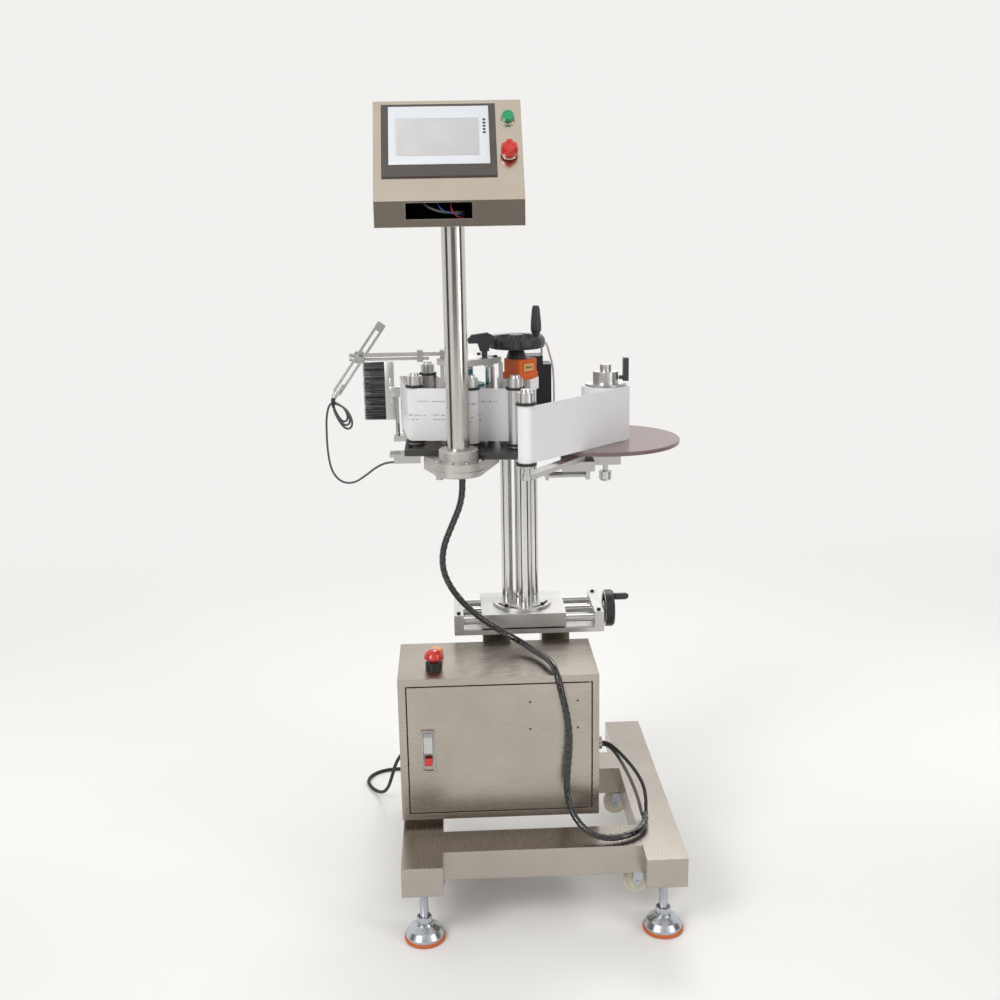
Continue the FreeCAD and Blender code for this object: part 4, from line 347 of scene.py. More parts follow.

# %% [markdown]
# Some solids carry two finishes in one piece: a roller is bare metal between two rubber
# rings, a levelling foot is a zinc cup on an orange pad, and the console sheet is painted
# near black inside its slot as painted shade. A mask made of boxes chooses between two
# shaders, so one solid can show both.

# %% Two finishes in one solid


def split(name, skin, colour, rough, grit, *boxes):
    """The skin finish, with a plain one inside boxes.

    A box is a list of (axis, low, high) in millimetres, rough is the plain finish's lowest
    and highest roughness, and grit the scale of its dull spots.
    """
    material = skin.copy()
    material.name = name
    tree = material.node_tree
    top = next(n for n in tree.nodes if n.type == "BSDF_PRINCIPLED")
    end = next(n for n in tree.nodes if n.type == "OUTPUT_MATERIAL")
    place = add(material, "TexCoord").outputs["Object"]
    axes = add(material, "SeparateXYZ", {0: place})
    inside = 0.0
    for box in boxes:
        part = 1.0
        for axis, low, high in box:
            for limit, test in ((low, "GREATER_THAN"), (high, "LESS_THAN")):
                side = add(material, "Math", {0: axes.outputs[axis], 1: limit * MM},
                           operation=test)
                part = add(material, "Math", {0: part, 1: side}, operation="MULTIPLY")
        inside = add(material, "Math", {0: inside, 1: part}, operation="MAXIMUM")
    spot = add(material, "TexNoise", {"Vector": place, "Scale": grit})
    dull = add(material, "MapRange", {0: spot, 3: rough[0], 4: rough[1]})
    plain = add(material, "BsdfPrincipled", {"Base Color": linear(colour), "Roughness": dull})
    both = add(material, "MixShader", {0: inside, 1: top, 2: plain})
    tree.links.new(both.outputs[0], end.inputs["Surface"])
    return material


ringed_roller = split("turned_roller_with_rings", turned_aluminium, "#232222", (0.5, 0.65), 700,
                      [("Z", 925.9, 931.1)], [("Z", 1038.9, 1044.1)])
cup_on_pad = split("zinc_cup_on_orange_pad", zinc_plate, "#C4622A", (0.45, 0.6), 700,
                   [("Z", -1, 8.05)])
teal_on_steel = split("teal_rubber_on_steel_core", teal_rubber, "#C9C8C6", (0.25, 0.4), 700,
                      [("Z", 900, 929)], [("Z", 1072, 1100)])
screw_and_wheel = split("ground_screw_with_black_wheel", ground_steel, "#262626", (0.33, 0.48),
                        700, [("X", 168 + SHIFT, 400)])
switch_and_lamp = split("black_collar_and_amber_lamp", amber_lens, "#211F1E", (0.35, 0.5), 700,
                        [("Y", -150, -50)])
# Inside the console, behind the slot, the sheet is painted near black: painted shade of the closed
# box.
console_sheet = split("console_sheet_with_painted_inner_shade", warm_stainless, "#1C1B1B", (0.6, 0.8),
                      90, [("X", -285.4 + SHIFT, -12.6 + SHIFT), ("Y", -134.6, 14.4),
                           ("Z", 1359.2, 1404)])
print("split finishes ready")

# %% [markdown]
# Now every solid of the part gets its finish. The direction of brushing follows how each
# piece was made: along tubes and posts, across sheet fronts, around turned pieces.

# %% Finish of each solid
CORNERS = ("front_left", "front_right", "rear_left", "rear_right")
FINISHES = {
    stainless_x: ["cabinet_body", "cabinet_door", "peel_plate"],
    console_sheet: ["hmi_console"],
    stainless_y: ["base_frame"],
    stainless_z: ["hmi_post"],
    ground_steel: ["adjusting_rods", "lift_screw"],
    screw_and_wheel: ["slide_screw"],
    chromed_steel: ["lift_columns", "pinch_roller"],
    clear_anodised: ["slide_base", "carriage_block", "turntable_disc", "bearing_blocks",
                     "traction_bridge", "dancer_arm", "latch_handle", "product_sensor_arm"],
    turned_aluminium: ["unwind_hub"],
    ringed_roller: ["guide_roller_a", "guide_roller_b", "guide_roller_c", "guide_roller_d",
                    "dancer_roller"],
    dark_anodised: ["head_plate"],
    cast_socket: ["post_socket"],
    zinc_plate: [f"caster_fork_{corner}" for corner in CORNERS],
    cup_on_pad: ["levelling_feet"],
    wheel_nylon: [f"caster_wheel_{corner}" for corner in CORNERS],
    black_nylon: ["lift_handwheel", "lift_crank_grip", "slide_crank_grip", "pinch_lever",
                  "core_clamp_lever"],
    black_rubber: ["power_coil", "power_plug", "power_cable", "harness"],
    grey_sheath: ["sensor_cable"],
    motor_paint: ["drive_motor"],
    indicator_orange: ["position_indicator"],
    signal_red: ["latch_button", "estop_mushroom", "stop_button"],
    signal_green: ["start_button"],
    switch_and_lamp: ["lid_switch_bodies"],
    teal_on_steel: ["drive_roller"],
    gear_grey: ["control_gear"],
    bezel_grey: ["touch_panel"],
    bristle_black: ["wipe_brush"],
    tinted_acrylic: ["unwind_disc"],
    wound_paper: ["label_roll"],
    printed_paper: ["label_web"],
}
for finish, names in FINISHES.items():
    for name in names:
        nodes[name].data.materials.clear()
        nodes[name].data.materials.append(finish)
bare = sorted(set(nodes) - {name for names in FINISHES.values() for name in names})
print("solids without a finish:", bare)

# %% [markdown]
# The small parts are modelled as by hand: start from a primitive, then extrude, inset and
# bevel it. Turned parts are drawn ring by ring: a disc is extruded upwards and each new
# ring is scaled to its radius, which is how a lathe profile reads from bottom to top.

# %% Modelling helpers


def meshed(piece):
    """The mesh that a curve or text becomes."""
    only(piece)
    bpy.ops.object.convert(target="MESH")
    return bpy.context.object


def settle(piece, name, body, material, angle=32):
    """Applies the place, names the piece, gives it its finish and lets it ride."""
    only(piece)
    bpy.ops.object.transform_apply(location=True, rotation=True, scale=True)
    piece.name = name
    piece.data.name = name
    piece.data.materials.clear()
    piece.data.materials.append(material)
    bpy.ops.object.shade_smooth_by_angle(angle=math.radians(angle))
    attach(piece, body)
    print(name, len(piece.data.polygons), "faces")
    return piece


def pick(piece, kind, rule):
    """Enters edit mode with just the vertices, edges or faces that a rule chooses."""
    only(piece)
    bpy.ops.object.mode_set(mode="EDIT")
    bpy.ops.mesh.select_mode(type=kind)
    bpy.ops.mesh.select_all(action="DESELECT")
    bpy.ops.object.mode_set(mode="OBJECT")
    mesh = piece.data
    for item in {"VERT": mesh.vertices, "EDGE": mesh.edges, "FACE": mesh.polygons}[kind]:
        item.select = rule(item)
    bpy.ops.object.mode_set(mode="EDIT")


def turned(profile, sides=24):
    """A turned shape along Z at the origin; the profile is (radius, height) upwards."""
    only()
    bpy.ops.mesh.primitive_circle_add(vertices=sides, radius=profile[0][0] * MM,
                                      fill_type="NGON", location=(0, 0, profile[0][1] * MM))
    piece = bpy.context.object
    bpy.ops.object.transform_apply(location=True, rotation=True, scale=True)
    bpy.ops.object.mode_set(mode="EDIT")
    bpy.ops.mesh.select_mode(type="FACE")
    bpy.ops.mesh.select_all(action="SELECT")
    for (low_radius, low), (radius, height) in zip(profile, profile[1:]):
        rise = (0, 0, (height - low) * MM)
        bpy.ops.mesh.extrude_region_move(TRANSFORM_OT_translate={"value": rise})
        grow = radius / low_radius
        bpy.ops.transform.resize(value=(grow, grow, 1))
    bpy.ops.mesh.select_all(action="SELECT")
    bpy.ops.mesh.normals_make_consistent(inside=False)
    bpy.ops.object.mode_set(mode="OBJECT")
    return piece


def slab(width, depth, height, round_edge=0.6, segments=2):
    """A flat block with rounded edges, centred at the origin."""
    only()
    bpy.ops.mesh.primitive_cube_add(size=1)
    piece = bpy.context.object
    piece.scale = (width * MM, depth * MM, height * MM)
    bpy.ops.object.transform_apply(location=True, rotation=True, scale=True)
    bevel = piece.modifiers.new("edge_round", "BEVEL")
    bevel.width = round_edge * MM
    bevel.segments = segments
    bevel.limit_method = "ANGLE"
    bpy.ops.object.modifier_apply(modifier="edge_round")
    return piece


def moved(piece, place, turn=(0, 0, 0)):
    """Puts a piece at a place of the drawing, turned by degrees about X, Y and Z."""
    piece.location = at(*place)
    piece.rotation_euler = [math.radians(a) for a in turn]
    return piece


def joined(pieces, name, body, material, angle=32):
    """Joins pieces into one that rides on a body."""
    only(*pieces)
    bpy.ops.object.transform_apply(location=True, rotation=True, scale=True)
    if len(pieces) > 1:
        bpy.ops.object.join()
    return settle(bpy.context.object, name, body, material, angle)


def copied(source, places, name, body, material, angle=32):
    """One piece made of copies of a source; a place is a point, or a point and a turn."""
    copies = []
    for place in places:
        copy = source.copy()
        copy.data = source.data.copy()
        bpy.context.collection.objects.link(copy)
        copies.append(moved(copy, *place) if len(place) == 2 else moved(copy, place))
    return joined(copies, name, body, material, angle)


print("modelling helpers ready")

# %% [markdown]
# A cord is a fixed length of something flexible. Each one is drawn as a smooth spline
# through the air, with its control points where the real cord turns. The harness leaves the
# post, hangs in front of the cabinet and splits into two tails that enter the cabinet.

# %% Cord helpers


def tube(name, points, radius, kind="NURBS", steps=6, sides=4, caps=True, swell=None):
    """A round tube along points of the scene; swell widens it point by point."""
    data = bpy.data.curves.new(name, "CURVE")
    data.dimensions = "3D"
    data.resolution_u = steps
    data.bevel_depth = radius * MM
    data.bevel_resolution = sides
    data.use_fill_caps = caps
    spline = data.splines.new(kind)
    spline.points.add(len(points) - 1)
    for index, place in enumerate(points):
        spline.points[index].co = (*place, 1)
        spline.points[index].radius = swell[index] if swell else 1
    if kind == "NURBS":
        spline.order_u = 3
        spline.use_endpoint_u = True
    piece = bpy.data.objects.new(name, data)
    bpy.context.collection.objects.link(piece)
    return piece


def cord_curve(name, route, diameter, material, body):
    """A round cord along a spline in millimetres; one without a body is left unattached."""
    cord = tube(name, [at(*p) for p in route], 0, caps=False)
    line = [v.co.copy() for v in bpy.data.meshes.new_from_object(cord).vertices]
    cord.data.bevel_depth = diameter * MM / 2
    cord.data.use_fill_caps = True
    cord.data.materials.append(material)
    if body:
        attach(cord, body)
    length = sum((b - a).length for a, b in zip(line, line[1:]))
    print(name, round(length, 3), "m long")
    return cord, line, length


print("cord helpers ready")

# %% Harness and its two tails
HARNESS = [
    (-139, -49, 905), (-137, -49, 868), (-141, -44, 820), (-161, -34, 772), (-181, -24, 722),
    (-183, -13, 672), (-165, -3, 626), (-134, 7, 583), (-93, 17, 544), (-50, 14, 518),
    (-12, -20, 505), (14, -68, 503), (30, -112, 506), (39, -153, 494), (48, -170, 452),
    (59, -172, 400), (62, -172, 350), (57, -174, 300), (53, -183, 254), (63, -205, 216),
    (88, -236, 194), (128, -248, 184), (170, -238, 184), (201, -214, 185), (214, -184, 188),
    (214, -164, 188),
]
TAILS = [
    [(218.6, -164, 188), (218.6, -150, 188), (222, -134, 206), (219, -113, 231),
     (199, -98, 262), (170, -80, 291), (150, -65, 303), (139, -65, 303)],
    [(209.4, -164, 188), (209.4, -150, 188), (206, -133, 207), (195, -112, 236),
     (180, -91, 264), (164, -69, 286), (149, -56, 294), (139, -56, 294)],
]
harness, harness_line, harness_length = cord_curve("harness_trunk", HARNESS, 13, black_gloss,
                                                   "base")
for count, (route, skin) in enumerate(zip(TAILS, (black_rubber, grey_sheath)), start=1):
    tail, _, tail_length = cord_curve(f"harness_tail_{count}", route, 7, skin, "base")

# %% [markdown]
# A spiral wrap is a plastic ribbon wound round the bundle. It is drawn as a thin cord of
# its own that runs around the harness: a point turns about the harness line as it moves
# along it. The turns are 15 mm apart, as on the real wrap.

# %% Spiral wrap
WRAP_REACH, WRAP_PITCH, WRAP_RADIUS = 4.4, 15, 3.0


def helix_around(line, radius, pitch, steps=10):
    """Points that wind about a line of points, without twisting where the line bends."""
    ahead = (line[1] - line[0]).normalized()
    side = ahead.orthogonal().normalized()
    points = []
    turn = 0.0
    for here, there in zip(line, line[1:]):
        run = there - here
        heading = run.normalized()
        side = ahead.rotation_difference(heading) @ side
        side = (side - heading * side.dot(heading)).normalized()
        ahead = heading
        count = max(1, round(run.length / (pitch * MM) * steps))
        for step in range(count):
            spin = Quaternion(heading, turn)
            points.append(here + run * (step / count) + (spin @ side) * radius * MM)
            turn += 2 * math.pi * run.length / count / (pitch * MM)
    return points
wrap = meshed(tube("harness_spiral_wrap", helix_around(harness_line, WRAP_REACH, WRAP_PITCH),
                   WRAP_RADIUS, "POLY", sides=1))
settle(wrap, "harness_spiral_wrap", "base", black_gloss, 180)

# %% [markdown]
# The power cord leaves the back of the cabinet, falls over the rail to the floor and is
# wound into a neat coil behind the cabinet: five full layers of two turns. It then comes
# up through the middle and out to its plug, in a bend no tighter than the coil's hole.

# %% Power cord
POWER = [
    (-240, 69.3, 230), (-241, 100, 227), (-248, 134, 212), (-266, 165, 195), (-291, 190, 172),
    (-309, 215, 132), (-320, 242, 86), (-332, 270, 42), (-350, 305, 12), (-376, 345, 4.2),
    (-391, 388, 4.2), (-375, 428, 4.2), (-333, 449, 4.2), (-281, 444, 4.2), (-229, 438, 4.2),
    (-190, 441, 4.2), (-165, 447, 4.2), (-149, 459, 4.2),
]
COIL_X, COIL_Y = -95, 450
TURNS = [(49, 4.2), (41, 4.2), (41, 12.2), (49, 12.2), (49, 28.2), (41, 28.2), (41, 36.2),
         (49, 36.2), (49, 44.2), (41, 44.2)]
coil = []
angle = 150
now = TURNS[0]
for target in TURNS:
    for step in range(12):
        share = min(1, step / 3)
        radius = now[0] + (target[0] - now[0]) * share
        height = now[1] + (target[1] - now[1]) * share
        turn = math.radians(angle)
        reach = radius / math.cos(math.pi / 12)
        coil.append((COIL_X + reach * math.cos(turn), COIL_Y + reach * math.sin(turn), height))
        angle -= 30
    now = target
for step in range(16):
    share = min(1, step / 9)
    turn = math.radians(angle)
    reach = 41 - 12 * share
    coil.append((COIL_X + reach * math.cos(turn), COIL_Y + reach * math.sin(turn),
                 44.2 - 23.9 * share))
    angle -= 30
coil += [(-66, 453, 20.3), (-54, 450, 20.3), (-41.6, 450, 20.3)]
power, power_line, power_length = cord_curve("power_cord", POWER + coil, 8, black_rubber, "base")

# %% [markdown]
# The sensor's lead is longer than it needs to be, so three loops of it hang under the
# sensor, tied as a small bundle. The loops are more points of the same spline: a leaf
# shape that shifts sideways by a cord's width on each round.

# %% Sensor cable
LEAF = [(-393, 1013), (-391, 998), (-384, 981), (-374, 965), (-364, 960), (-356, 967),
        (-357, 983), (-366, 1000), (-380, 1010)]
LEAD = [
    (-402, 45, 1010), (-409, 48, 984), (-411, 56, 946), (-411, 60, 906), (-405, 60, 868),
    (-387, 60, 845), (-361, 60, 842), (-336, 58, 858), (-313, 50, 877), (-290, 40, 889),
    (-276, 38, 889),
]
loops = [(-393 + (x + 393) * (1 - 0.13 * count), 32 + 4.6 * (count + index / len(LEAF)),
          1013 + (z - 1013) * (1 - 0.13 * count))
         for count in range(3) for index, (x, z) in enumerate(LEAF)]
SENSOR = [(-391.5, 38.3, 1024.2), (-392.5, 35, 1019)] + loops + [(-391, 46.5, 1014)] + LEAD
cord, sensor_line, sensor_length = cord_curve("sensor_lead", SENSOR, 4.4, grey_sheath, None)
sensor = meshed(cord)
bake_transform(sensor)

# %% [markdown]
# A white lead leaves the top of the drive motor, bends over and runs down its right side to
# the head plate. It is stiff enough to stand a little away from the housing.

# %% Motor lead
MOTOR_LEAD = [
    (40, 200, 1080), (40, 200, 1094), (41, 196, 1106), (45, 190, 1112), (51, 187, 1104),
    (56, 186, 1085), (63, 186, 1060), (65, 186, 1020), (65, 186, 975), (64, 186, 940),
    (64, 186, 921),
]
motor_lead, _, motor_length = cord_curve(
    "motor_lead", MOTOR_LEAD, 4.5,
    moulded("white_cable_sheath", "#E9E9E7", "#D5D5D2", 0.42, 1.2, 0.06), "head")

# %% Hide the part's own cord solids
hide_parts("harness")
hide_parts("power_cable", "power_coil")
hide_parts("sensor_cable")

# %% [markdown]
# On the machine the backing web follows the dancer when its arm swings. Here the band is a
# fixed copy of the part's web solid, with corners only where a straight run meets a roller,
# set into the scene while the solid itself is hidden.

# %% Label web
web = bpy.data.objects.new("label_band", nodes["label_web"].data.copy())
bpy.context.collection.objects.link(web)
web.data.name = "label_band"
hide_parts("label_web")
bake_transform(web)

# %% [markdown]
# One socket head screw serves the whole machine. It is turned once, with its recess, and
# copied to every flange, bridge and end block where the real machine is screwed together.

# %% Socket head screws


def around(x, y, radius, z, angles):
    """Places on a circle, at angles in degrees."""
    return [(x + radius * math.cos(math.radians(a)), y + radius * math.sin(math.radians(a)), z)
            for a in angles]


BRIDGE_X, BRIDGE_Y, BRIDGE_TURN = -117.5, 51, math.radians(35)
BRIDGE_COS, BRIDGE_SIN = math.cos(BRIDGE_TURN), math.sin(BRIDGE_TURN)
screw = turned([(4.2, 0), (4.2, 3.4), (3.9, 3.9), (2.3, 3.9), (2.1, 1.6)], 18)
screw_places = {
    "post_flange_screws": ("head", around(-144, -50, 45, 908.4, (200, 250, 290, 340))),
    "bridge_screws": ("head", [
        (BRIDGE_X + x * BRIDGE_COS - y * BRIDGE_SIN, BRIDGE_Y + x * BRIDGE_SIN + y * BRIDGE_COS,
         1097) for x, y in ((-45, -28), (45, -28), (45, 28), (-45, 28))]),
    "turntable_screws": ("carriage", around(-13, 128, 53, 554.8, (227, 322, 90))),
    "slide_end_screws": ("base", [(x, y, 548.4) for x in (-152, 148) for y in (66, 190)]),
    "head_plate_screws": ("head", [(-240, 30, 920.4), (-200, 190, 920.4), (60, -30, 920.4),
                                   (120, 60, 920.4)]),
}
for name, (body, places) in screw_places.items():
    steel = zinc_plate if name == "post_flange_screws" else black_oxide
    copied(screw, places, name, body, steel)
bpy.data.objects.remove(screw)

# %% [markdown]
# The threads of the levelling studs are rings a little wider than the stud, 3 mm apart. An
# array modifier repeats one turned ring, and is then applied, because the finished piece
# must be plain mesh.

# %% Stud threads
THREAD_TURNS, THREAD_PITCH = 14, 0.003
ring = turned([(7.6, 0), (8.5, 0.9), (8.5, 1.3), (7.6, 2.2)], 24)
only(ring)
repeat = ring.modifiers.new("thread", "ARRAY")
repeat.count = THREAD_TURNS
repeat.use_relative_offset = False
repeat.use_constant_offset = True
repeat.constant_offset_displace = (0, 0, THREAD_PITCH)
bpy.ops.object.modifier_apply(modifier="thread")
foot_places = [(sx * 235, sy * 275, 52) for sx in (-1, 1) for sy in (-1, 1)]
copied(ring, foot_places, "stud_threads", "base", zinc_plate)
bpy.data.objects.remove(ring)

# %% [markdown]
# Each nut is a hexagon with its corners turned off. A six-sided disc is extruded, and the
# small chamfer at top and bottom comes from two narrower rings.

# %% Lock nuts on the studs
nut = turned([(13.2, 0), (15.0, 1.4), (15.0, 11.4), (13.2, 12.8), (9.4, 12.8)], 6)
nut_places = [(x, y, z) for x, y, low in foot_places for z in (36.2, 101.0)]
copied(nut, nut_places, "stud_nuts", "base", zinc_plate, 20)
bpy.data.objects.remove(nut)

# %% [markdown]
# The operator panel: a dark frame holds a silver front film with a matt screen sunk into
# it, and a column of small keys on the right. The console face leans back, so each piece is
# modelled flat and then turned 57 degrees about X and moved onto the face.

# %% Front film with its screen window
LEAN = math.radians(33)
FOLD_Z = 1405
FACE_TURN = (57, 0, 0)
FILM_BORDER, GROOVE = 0.0145, 0.0008


def face_point(x, up, out):
    """A point on the console's sloping face, in millimetres."""
    return (x, -135 + up * math.sin(LEAN) - out * math.cos(LEAN),
            FOLD_Z + up * math.cos(LEAN) + out * math.sin(LEAN))


film = slab(185, 125, 1.0, 0.4)
pick(film, "FACE", lambda face: face.normal.z > 0.99 and face.area > 0.01)
bpy.ops.mesh.inset(thickness=FILM_BORDER)
bpy.ops.transform.resize(value=(1.0, 0.86, 1))
bpy.ops.transform.translate(value=(-0.002, -0.004, 0))
bpy.ops.mesh.inset(thickness=GROOVE, depth=-GROOVE)
bpy.ops.object.mode_set(mode="OBJECT")
film = joined([moved(film, face_point(-165.2, 136, 4.4), FACE_TURN)], "panel_front_film", "hmi",
              membrane_silver)

# %% Screen glass and keys
glass = slab(150, 79, 0.5, 0.2)
glass = joined([moved(glass, face_point(-167.2, 132.0, 4.5), FACE_TURN)], "panel_screen", "hmi",
               screen_glass)
key = slab(5.2, 4.2, 0.8, 0.6, 3)
keys = [(face_point(-81.5, up, 5.1), FACE_TURN) for up in (168, 161, 154, 147, 140)]
copied(key, keys, "panel_keys", "hmi", bezel_grey)
bpy.data.objects.remove(key)

# %% [markdown]
# The stop button is a red knob with four lobes for turning it free. It starts as a disc of
# 32 sides, and the rim vertices between the lobes are pulled inwards.

# %% Lobed stop knob
RIM_INSIDE, RIM_BOTTOM, BETWEEN_LOBES = 0.008, 0.001, -0.3


def between_lobes(vertex):
    """Chooses the upper rim where it is pulled in."""
    wave = math.cos(4 * math.atan2(vertex.co.y, vertex.co.x))
    return vertex.co.z > RIM_BOTTOM and vertex.co.xy.length > RIM_INSIDE and wave < BETWEEN_LOBES


knob = turned([(12.5, 0), (14.2, 1.5), (14.2, 6.5), (12.8, 8.6), (5.5, 8.6), (5.0, 7.6)], 32)
pick(knob, "VERT", between_lobes)
bpy.ops.transform.resize(value=(0.76, 0.76, 1), center_override=(0, 0, 0))
bpy.ops.object.mode_set(mode="OBJECT")
knob = joined([moved(knob, face_point(-37, 97, 17.6), FACE_TURN)], "stop_knob_lobes",
              "stop_button", signal_red, 40)
cap = turned([(10.6, 0), (10.9, 0.6), (10.4, 1.4), (7.2, 1.9), (6.6, 1.2)], 32)
cap = joined([moved(cap, face_point(-37, 173, 10.4), FACE_TURN)], "start_button_face",
             "start_button", signal_green, 40)

# %% [markdown]
# Behind the slot in the console's lower face a few wires cross the inside, whose dark is
# painted shade. They run from the back of the panel to the post, which carries them down to the
# head.

# %% Wires in the console
WIRES = {
    "console_wire_grey": (2.4, grey_sheath, [(-205, -70, 1420), (-202, -104, 1408),
                                             (-190, -118, 1394), (-165, -122, 1384),
                                             (-135, -119, 1383), (-118, -100, 1385),
                                             (-130, -60, 1368), (-140, -52, 1362)]),
    "console_wire_blue": (1.2, moulded("blue_core_insulation", "#3C5C9C", "#2C4780", 0.4), [
        (-178, -70, 1420), (-172, -106, 1406), (-168, -120, 1392), (-152, -124, 1382),
        (-128, -121, 1380), (-118, -96, 1378), (-134, -58, 1366), (-146, -50, 1362)]),
    "console_wire_red": (1.2, moulded("red_core_insulation", "#B8343A", "#98262C", 0.4), [
        (-150, -70, 1420), (-146, -108, 1406), (-147, -122, 1393), (-141, -125, 1380),
        (-129, -122, 1373), (-121, -100, 1372), (-136, -62, 1365), (-143, -46, 1362)]),
}
for name, (radius, material, route) in WIRES.items():
    line = [at(*place) for place in route]
    settle(meshed(tube(name, line, radius, steps=5, sides=3, caps=False)), name, "hmi", material,
           60)

# %% [markdown]
# The brush wipes each label onto the carton. Its solid is only a block, so it is replaced:
# a milled holder, its link and clamp, and several hundred nylon bristles in rows. Each
# bristle is a four-sided stick, and its length and lean come from a small repeating rule.

# %% Wipe brush
BRUSH_X, BRUSH_Y, BRUSH_LOW = -274, 232, 941
BRISTLE_ROWS, BRISTLE_COLUMNS = 78, 6
parts = [moved(slab(width, depth, height, 0.9), place) for width, depth, height, place in (
    (20, 14, 127, (BRUSH_X - 15, BRUSH_Y + 14, 1004.5)),
    (24, 14, 22, (BRUSH_X - 4, BRUSH_Y, 1004.5)),
    (10, 5, 57, (BRUSH_X - 11, BRUSH_Y + 4.5, 1005)),
)]
holder = joined(parts, "brush_holder", "brush", clear_anodised)
only()
bpy.ops.mesh.primitive_cylinder_add(vertices=4, radius=0.00062, depth=0.046,
                                    rotation=(0, math.pi / 2, 0))
stick = bpy.context.object
bpy.ops.object.transform_apply(location=True, rotation=True, scale=True)
pick(stick, "VERT", lambda vertex: vertex.co.x < 0)
bpy.ops.transform.resize(value=(1, 0.5, 0.5), center_override=(-0.023, 0, 0))
bpy.ops.object.mode_set(mode="OBJECT")
places = []
for row in range(BRISTLE_ROWS):
    for column in range(BRISTLE_COLUMNS):
        wave = math.sin(row * 12.9 + column * 7.3)
        places.append(((BRUSH_X - 47 + 2.2 * wave, BRUSH_Y + 9.0 + 2.0 * column,
                        BRUSH_LOW + 1.0 + row * 1.62 + 0.4 * wave),
                       (0, 1.1 * wave, 1.3 * math.cos(row * 5.1 + column))))
bristles = copied(stick, places, "brush_bristles", "brush", bristle_black, 60)
bpy.data.objects.remove(stick)
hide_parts("wipe_brush")
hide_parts("wipe_brush")

# %% [markdown]
# The position indicator is an orange clamp counter. It has a light window with five plain
# digits, so the height of the head can be read off and set again.

# %% Position indicator window
window = slab(27, 1.2, 15, 0.5, 3)
window = joined([moved(window, (6.2, 106.8, 1067.5), (0, 0, 40))], "indicator_window",
                "turntable",
                moulded("indicator_window_cream", "#F3C98E", "#E8B673", 0.3, 1.4, 0.05))
only()
bpy.ops.object.text_add(location=(0, 0, 0))
text = bpy.context.object.data
text.body = "00425"
text.size = 0.0075
text.extrude = 0.0002
text.align_x = "CENTER"
text.align_y = "CENTER"
digits = moved(meshed(bpy.context.object), (6.7, 106.1, 1067.5), (90, 0, 40))
settle(digits, "indicator_digits", "turntable", black_oxide)

# %% [markdown]
# The door lock: a plated frame around a hinged handle, and a square red push piece that
# lets the handle spring out. The push piece takes the place of the solid's round one.

# %% Door lock
LOCK_X, LOCK_Y, LOCK_Z, PUSH_Z = -233, -153, 292, 317
bars = [moved(slab(width, 1.4, height, 0.5, 2), (LOCK_X + x, LOCK_Y - 0.6, LOCK_Z + z))
        for width, height, x, z in ((2.4, 88, 1.7, 45), (2.4, 88, 24.3, 45),
                                    (25, 2.4, 13, 2.2), (25, 2.4, 13, 87.8))]
lock_plate = joined(bars, "lock_frame", "door", zinc_plate)
push_face = moved(slab(16, 2.2, 16, 0.9, 3), (LOCK_X + 13, LOCK_Y - 6.2, PUSH_Z))
push_stem = moved(turned([(3.6, 0), (3.8, 0.4), (3.8, 9.6), (3.6, 10)], 20),
                  (LOCK_X + 13, LOCK_Y + 4.2, PUSH_Z), (90, 0, 0))
push = joined([push_face, push_stem], "latch_push_piece", "latch_button", signal_red)
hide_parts("latch_button")

# %% [markdown]
# A small bare tag of yellow paper lies on the head plate. Each cord has a ribbed, tapering
# strain relief or collar where it enters the machine, which follows the first millimetres
# of the cord.

# %% Tag, strain reliefs and collar
RIB = 0.5


def boot(name, line, start, end, radii, body):
    """A ribbed rubber taper along a cord's line, between two lengths in millimetres."""
    kept = []
    walked = 0
    for here, there in zip(line, line[1:]):
        walked += (there - here).length * 1000
        if start <= walked <= end:
            kept.append(there)
    swell = [radii[0] + (radii[1] - radii[0]) * (index / (len(kept) - 1)) + RIB * (index % 2)
             for index in range(len(kept))]
    piece = meshed(tube(name, kept, 1, "POLY", sides=5, swell=swell))
    return settle(piece, name, body, black_rubber, 50)


joined([moved(slab(15, 40, 0.4, 0.1, 1), (-199, 106, 920.9))], "bare_yellow_tag", "head",
       moulded("yellow_paper_tag", "#E8C23A", "#D9B02A", 0.6, 1.0, 0.05))
boot("power_strain_relief", power_line, 0, 42, (8.4, 4.9), "base")
boot("sensor_strain_relief", sensor_line, 0, 20, (4.4, 2.7), "sensor_arm")
boot("harness_post_collar", harness_line, 14, 40, (10.2, 8.6), "base")

# %% [markdown]
# The studio is plain: a pale floor that curves up behind the machine, and big soft lamps.
# Far from the machine the floor and the world show one pale tone to the camera and in the
# metal, while the floor close by keeps the soft shadow.

# %% Floor and backdrop
PALE = "#F2F1EF"
FLOOR_GAP = 0.0005
FLOOR_SIZE = (14, 8, 1)
SWEEP_HEIGHT, SWEEP_RADIUS = 5, 1.6


def seen(owner):
    """1 where the camera, a reflection or glass looks, 0 for light that is only scattered."""
    ray = add(owner, "LightPath")
    share = ray.outputs["Is Camera Ray"]
    for kind in ("Is Glossy Ray", "Is Transmission Ray"):
        share = add(owner, "Math", {0: share, 1: ray.outputs[kind]}, operation="MAXIMUM")
    return share


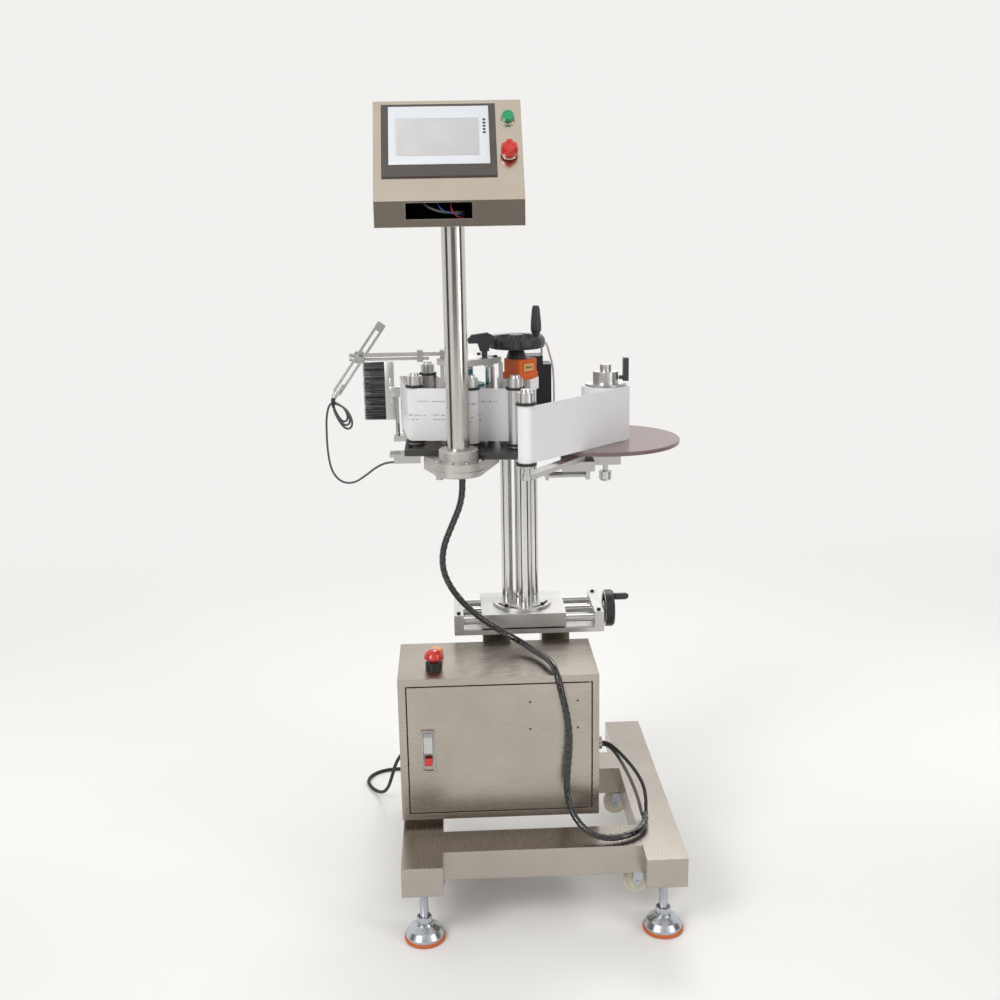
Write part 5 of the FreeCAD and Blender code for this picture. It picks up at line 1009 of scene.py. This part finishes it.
floor_paint, floor_place = blank("pale_studio_floor")
cloud = add(floor_paint, "TexNoise", {"Vector": floor_place, "Scale": 1.5, "Detail": 2.0})
tint = add(floor_paint, "Mix", {0: cloud, 6: linear("#EDECEA"), 7: linear(PALE)},
           data_type="RGBA")
paint = add(floor_paint, "BsdfPrincipled", {"Base Color": tint.outputs[2], "Roughness": 0.75})
axes = add(floor_paint, "SeparateXYZ", {0: floor_place})
far = add(floor_paint, "MapRange", {0: axes.outputs["Y"], 1: 0.9, 2: 2.6})
share = add(floor_paint, "Math", {0: seen(floor_paint), 1: far}, operation="MULTIPLY")
glow = add(floor_paint, "Emission", {"Color": linear(PALE), "Strength": 1.0})
finish_graph(floor_paint, add(floor_paint, "MixShader", {0: share, 1: paint, 2: glow}))
only()
bpy.ops.mesh.primitive_plane_add(size=1, location=(0, 0, -FLOOR_GAP))
floor = bpy.context.object
floor.name = "studio_floor"
floor.scale = FLOOR_SIZE
bpy.ops.object.transform_apply(location=True, rotation=True, scale=True)
pick(floor, "EDGE", lambda edge: all(floor.data.vertices[v].co.y > 3 for v in edge.vertices))
bpy.ops.mesh.extrude_region_move(TRANSFORM_OT_translate={"value": (0, 0, SWEEP_HEIGHT)})
bpy.ops.object.mode_set(mode="OBJECT")
curve_up = floor.modifiers.new("sweep", "BEVEL")
curve_up.width = SWEEP_RADIUS
curve_up.segments = 16
only(floor)
bpy.ops.object.modifier_apply(modifier="sweep")
bpy.ops.object.shade_smooth()
floor.data.materials.append(floor_paint)
print("floor", len(floor.data.polygons), "faces")

# %% [markdown]
# Dark cards stand on the left, on the right and behind the camera, seen by the metal but not
# by the camera. Polished columns mirror them as dark lines, and upright faces grow a little
# darker than sloping ones, which is how a photographer gives metal its shape.

# %% Cards round the machine
card_black = moulded("black_studio_card", "#151515", "#101010", 0.8)
card_grey = moulded("grey_studio_card", "#6E6B68", "#5F5C5A", 0.8)
CARDS = [
    ("card_left", (-1.45, -0.55, 1.1), 90, 0.7, 2.2, card_black),
    ("card_right", (1.35, -0.5, 1.1), 90, 0.8, 2.2, card_black),
    ("card_behind_camera", (-0.1, -3.4, 1.35), 0, 2.6, 1.3, card_grey),
]
for name, place, turn, width, height, material in CARDS:
    only()
    bpy.ops.mesh.primitive_plane_add(size=1, location=place,
                                     rotation=(math.pi / 2, 0, math.radians(turn)))
    card = bpy.context.object
    card.name = name
    card.scale = (width, height, 1)
    bpy.ops.object.transform_apply(location=True, rotation=True, scale=True)
    card.data.materials.append(material)
    card.visible_camera = False
    card.visible_shadow = False
print(len(CARDS), "cards")

# %% World and lamps
world = bpy.data.worlds.new("soft_studio")
bpy.context.scene.world = world
world.use_nodes = True
world.node_tree.nodes.clear()
sky_place = add(world, "TexCoord").outputs["Generated"]
axes = add(world, "SeparateXYZ", {0: sky_place})
rise = add(world, "MapRange", {0: axes.outputs["Z"], 1: -0.1, 2: 0.9})
tint = add(world, "Mix", {0: rise, 6: linear("#A9A6A2"), 7: linear("#FFFFFF")},
           data_type="RGBA")
sky = add(world, "Background", {"Color": tint.outputs[2], "Strength": 0.9})
pale = add(world, "Background", {"Color": linear(PALE), "Strength": 1.0})
both = add(world, "MixShader", {0: seen(world), 1: sky, 2: pale})
add(world, "OutputWorld", {"Surface": both})


def lamp(name, place, target, width, height, power):
    """A soft box that looks at a point."""
    data = bpy.data.lights.new(name, "AREA")
    data.shape = "RECTANGLE"
    data.size = width
    data.size_y = height
    data.energy = power
    light = bpy.data.objects.new(name, data)
    bpy.context.collection.objects.link(light)
    light.location = place
    toward = Vector(target) - Vector(place)
    light.rotation_euler = toward.to_track_quat("-Z", "Y").to_euler()


lamp("key_softbox", (-1.9, -2.2, 2.6), (0, 0, 0.8), 1.2, 1.6, 50)
lamp("fill_softbox", (2.3, -1.8, 1.6), (0, 0, 0.8), 1.0, 1.8, 20)
lamp("back_softbox", (0.6, 2.0, 2.6), (0, 0, 0.9), 1.6, 0.8, 26)
bpy.context.scene.view_settings.view_transform = "Standard"
print("lamps set")
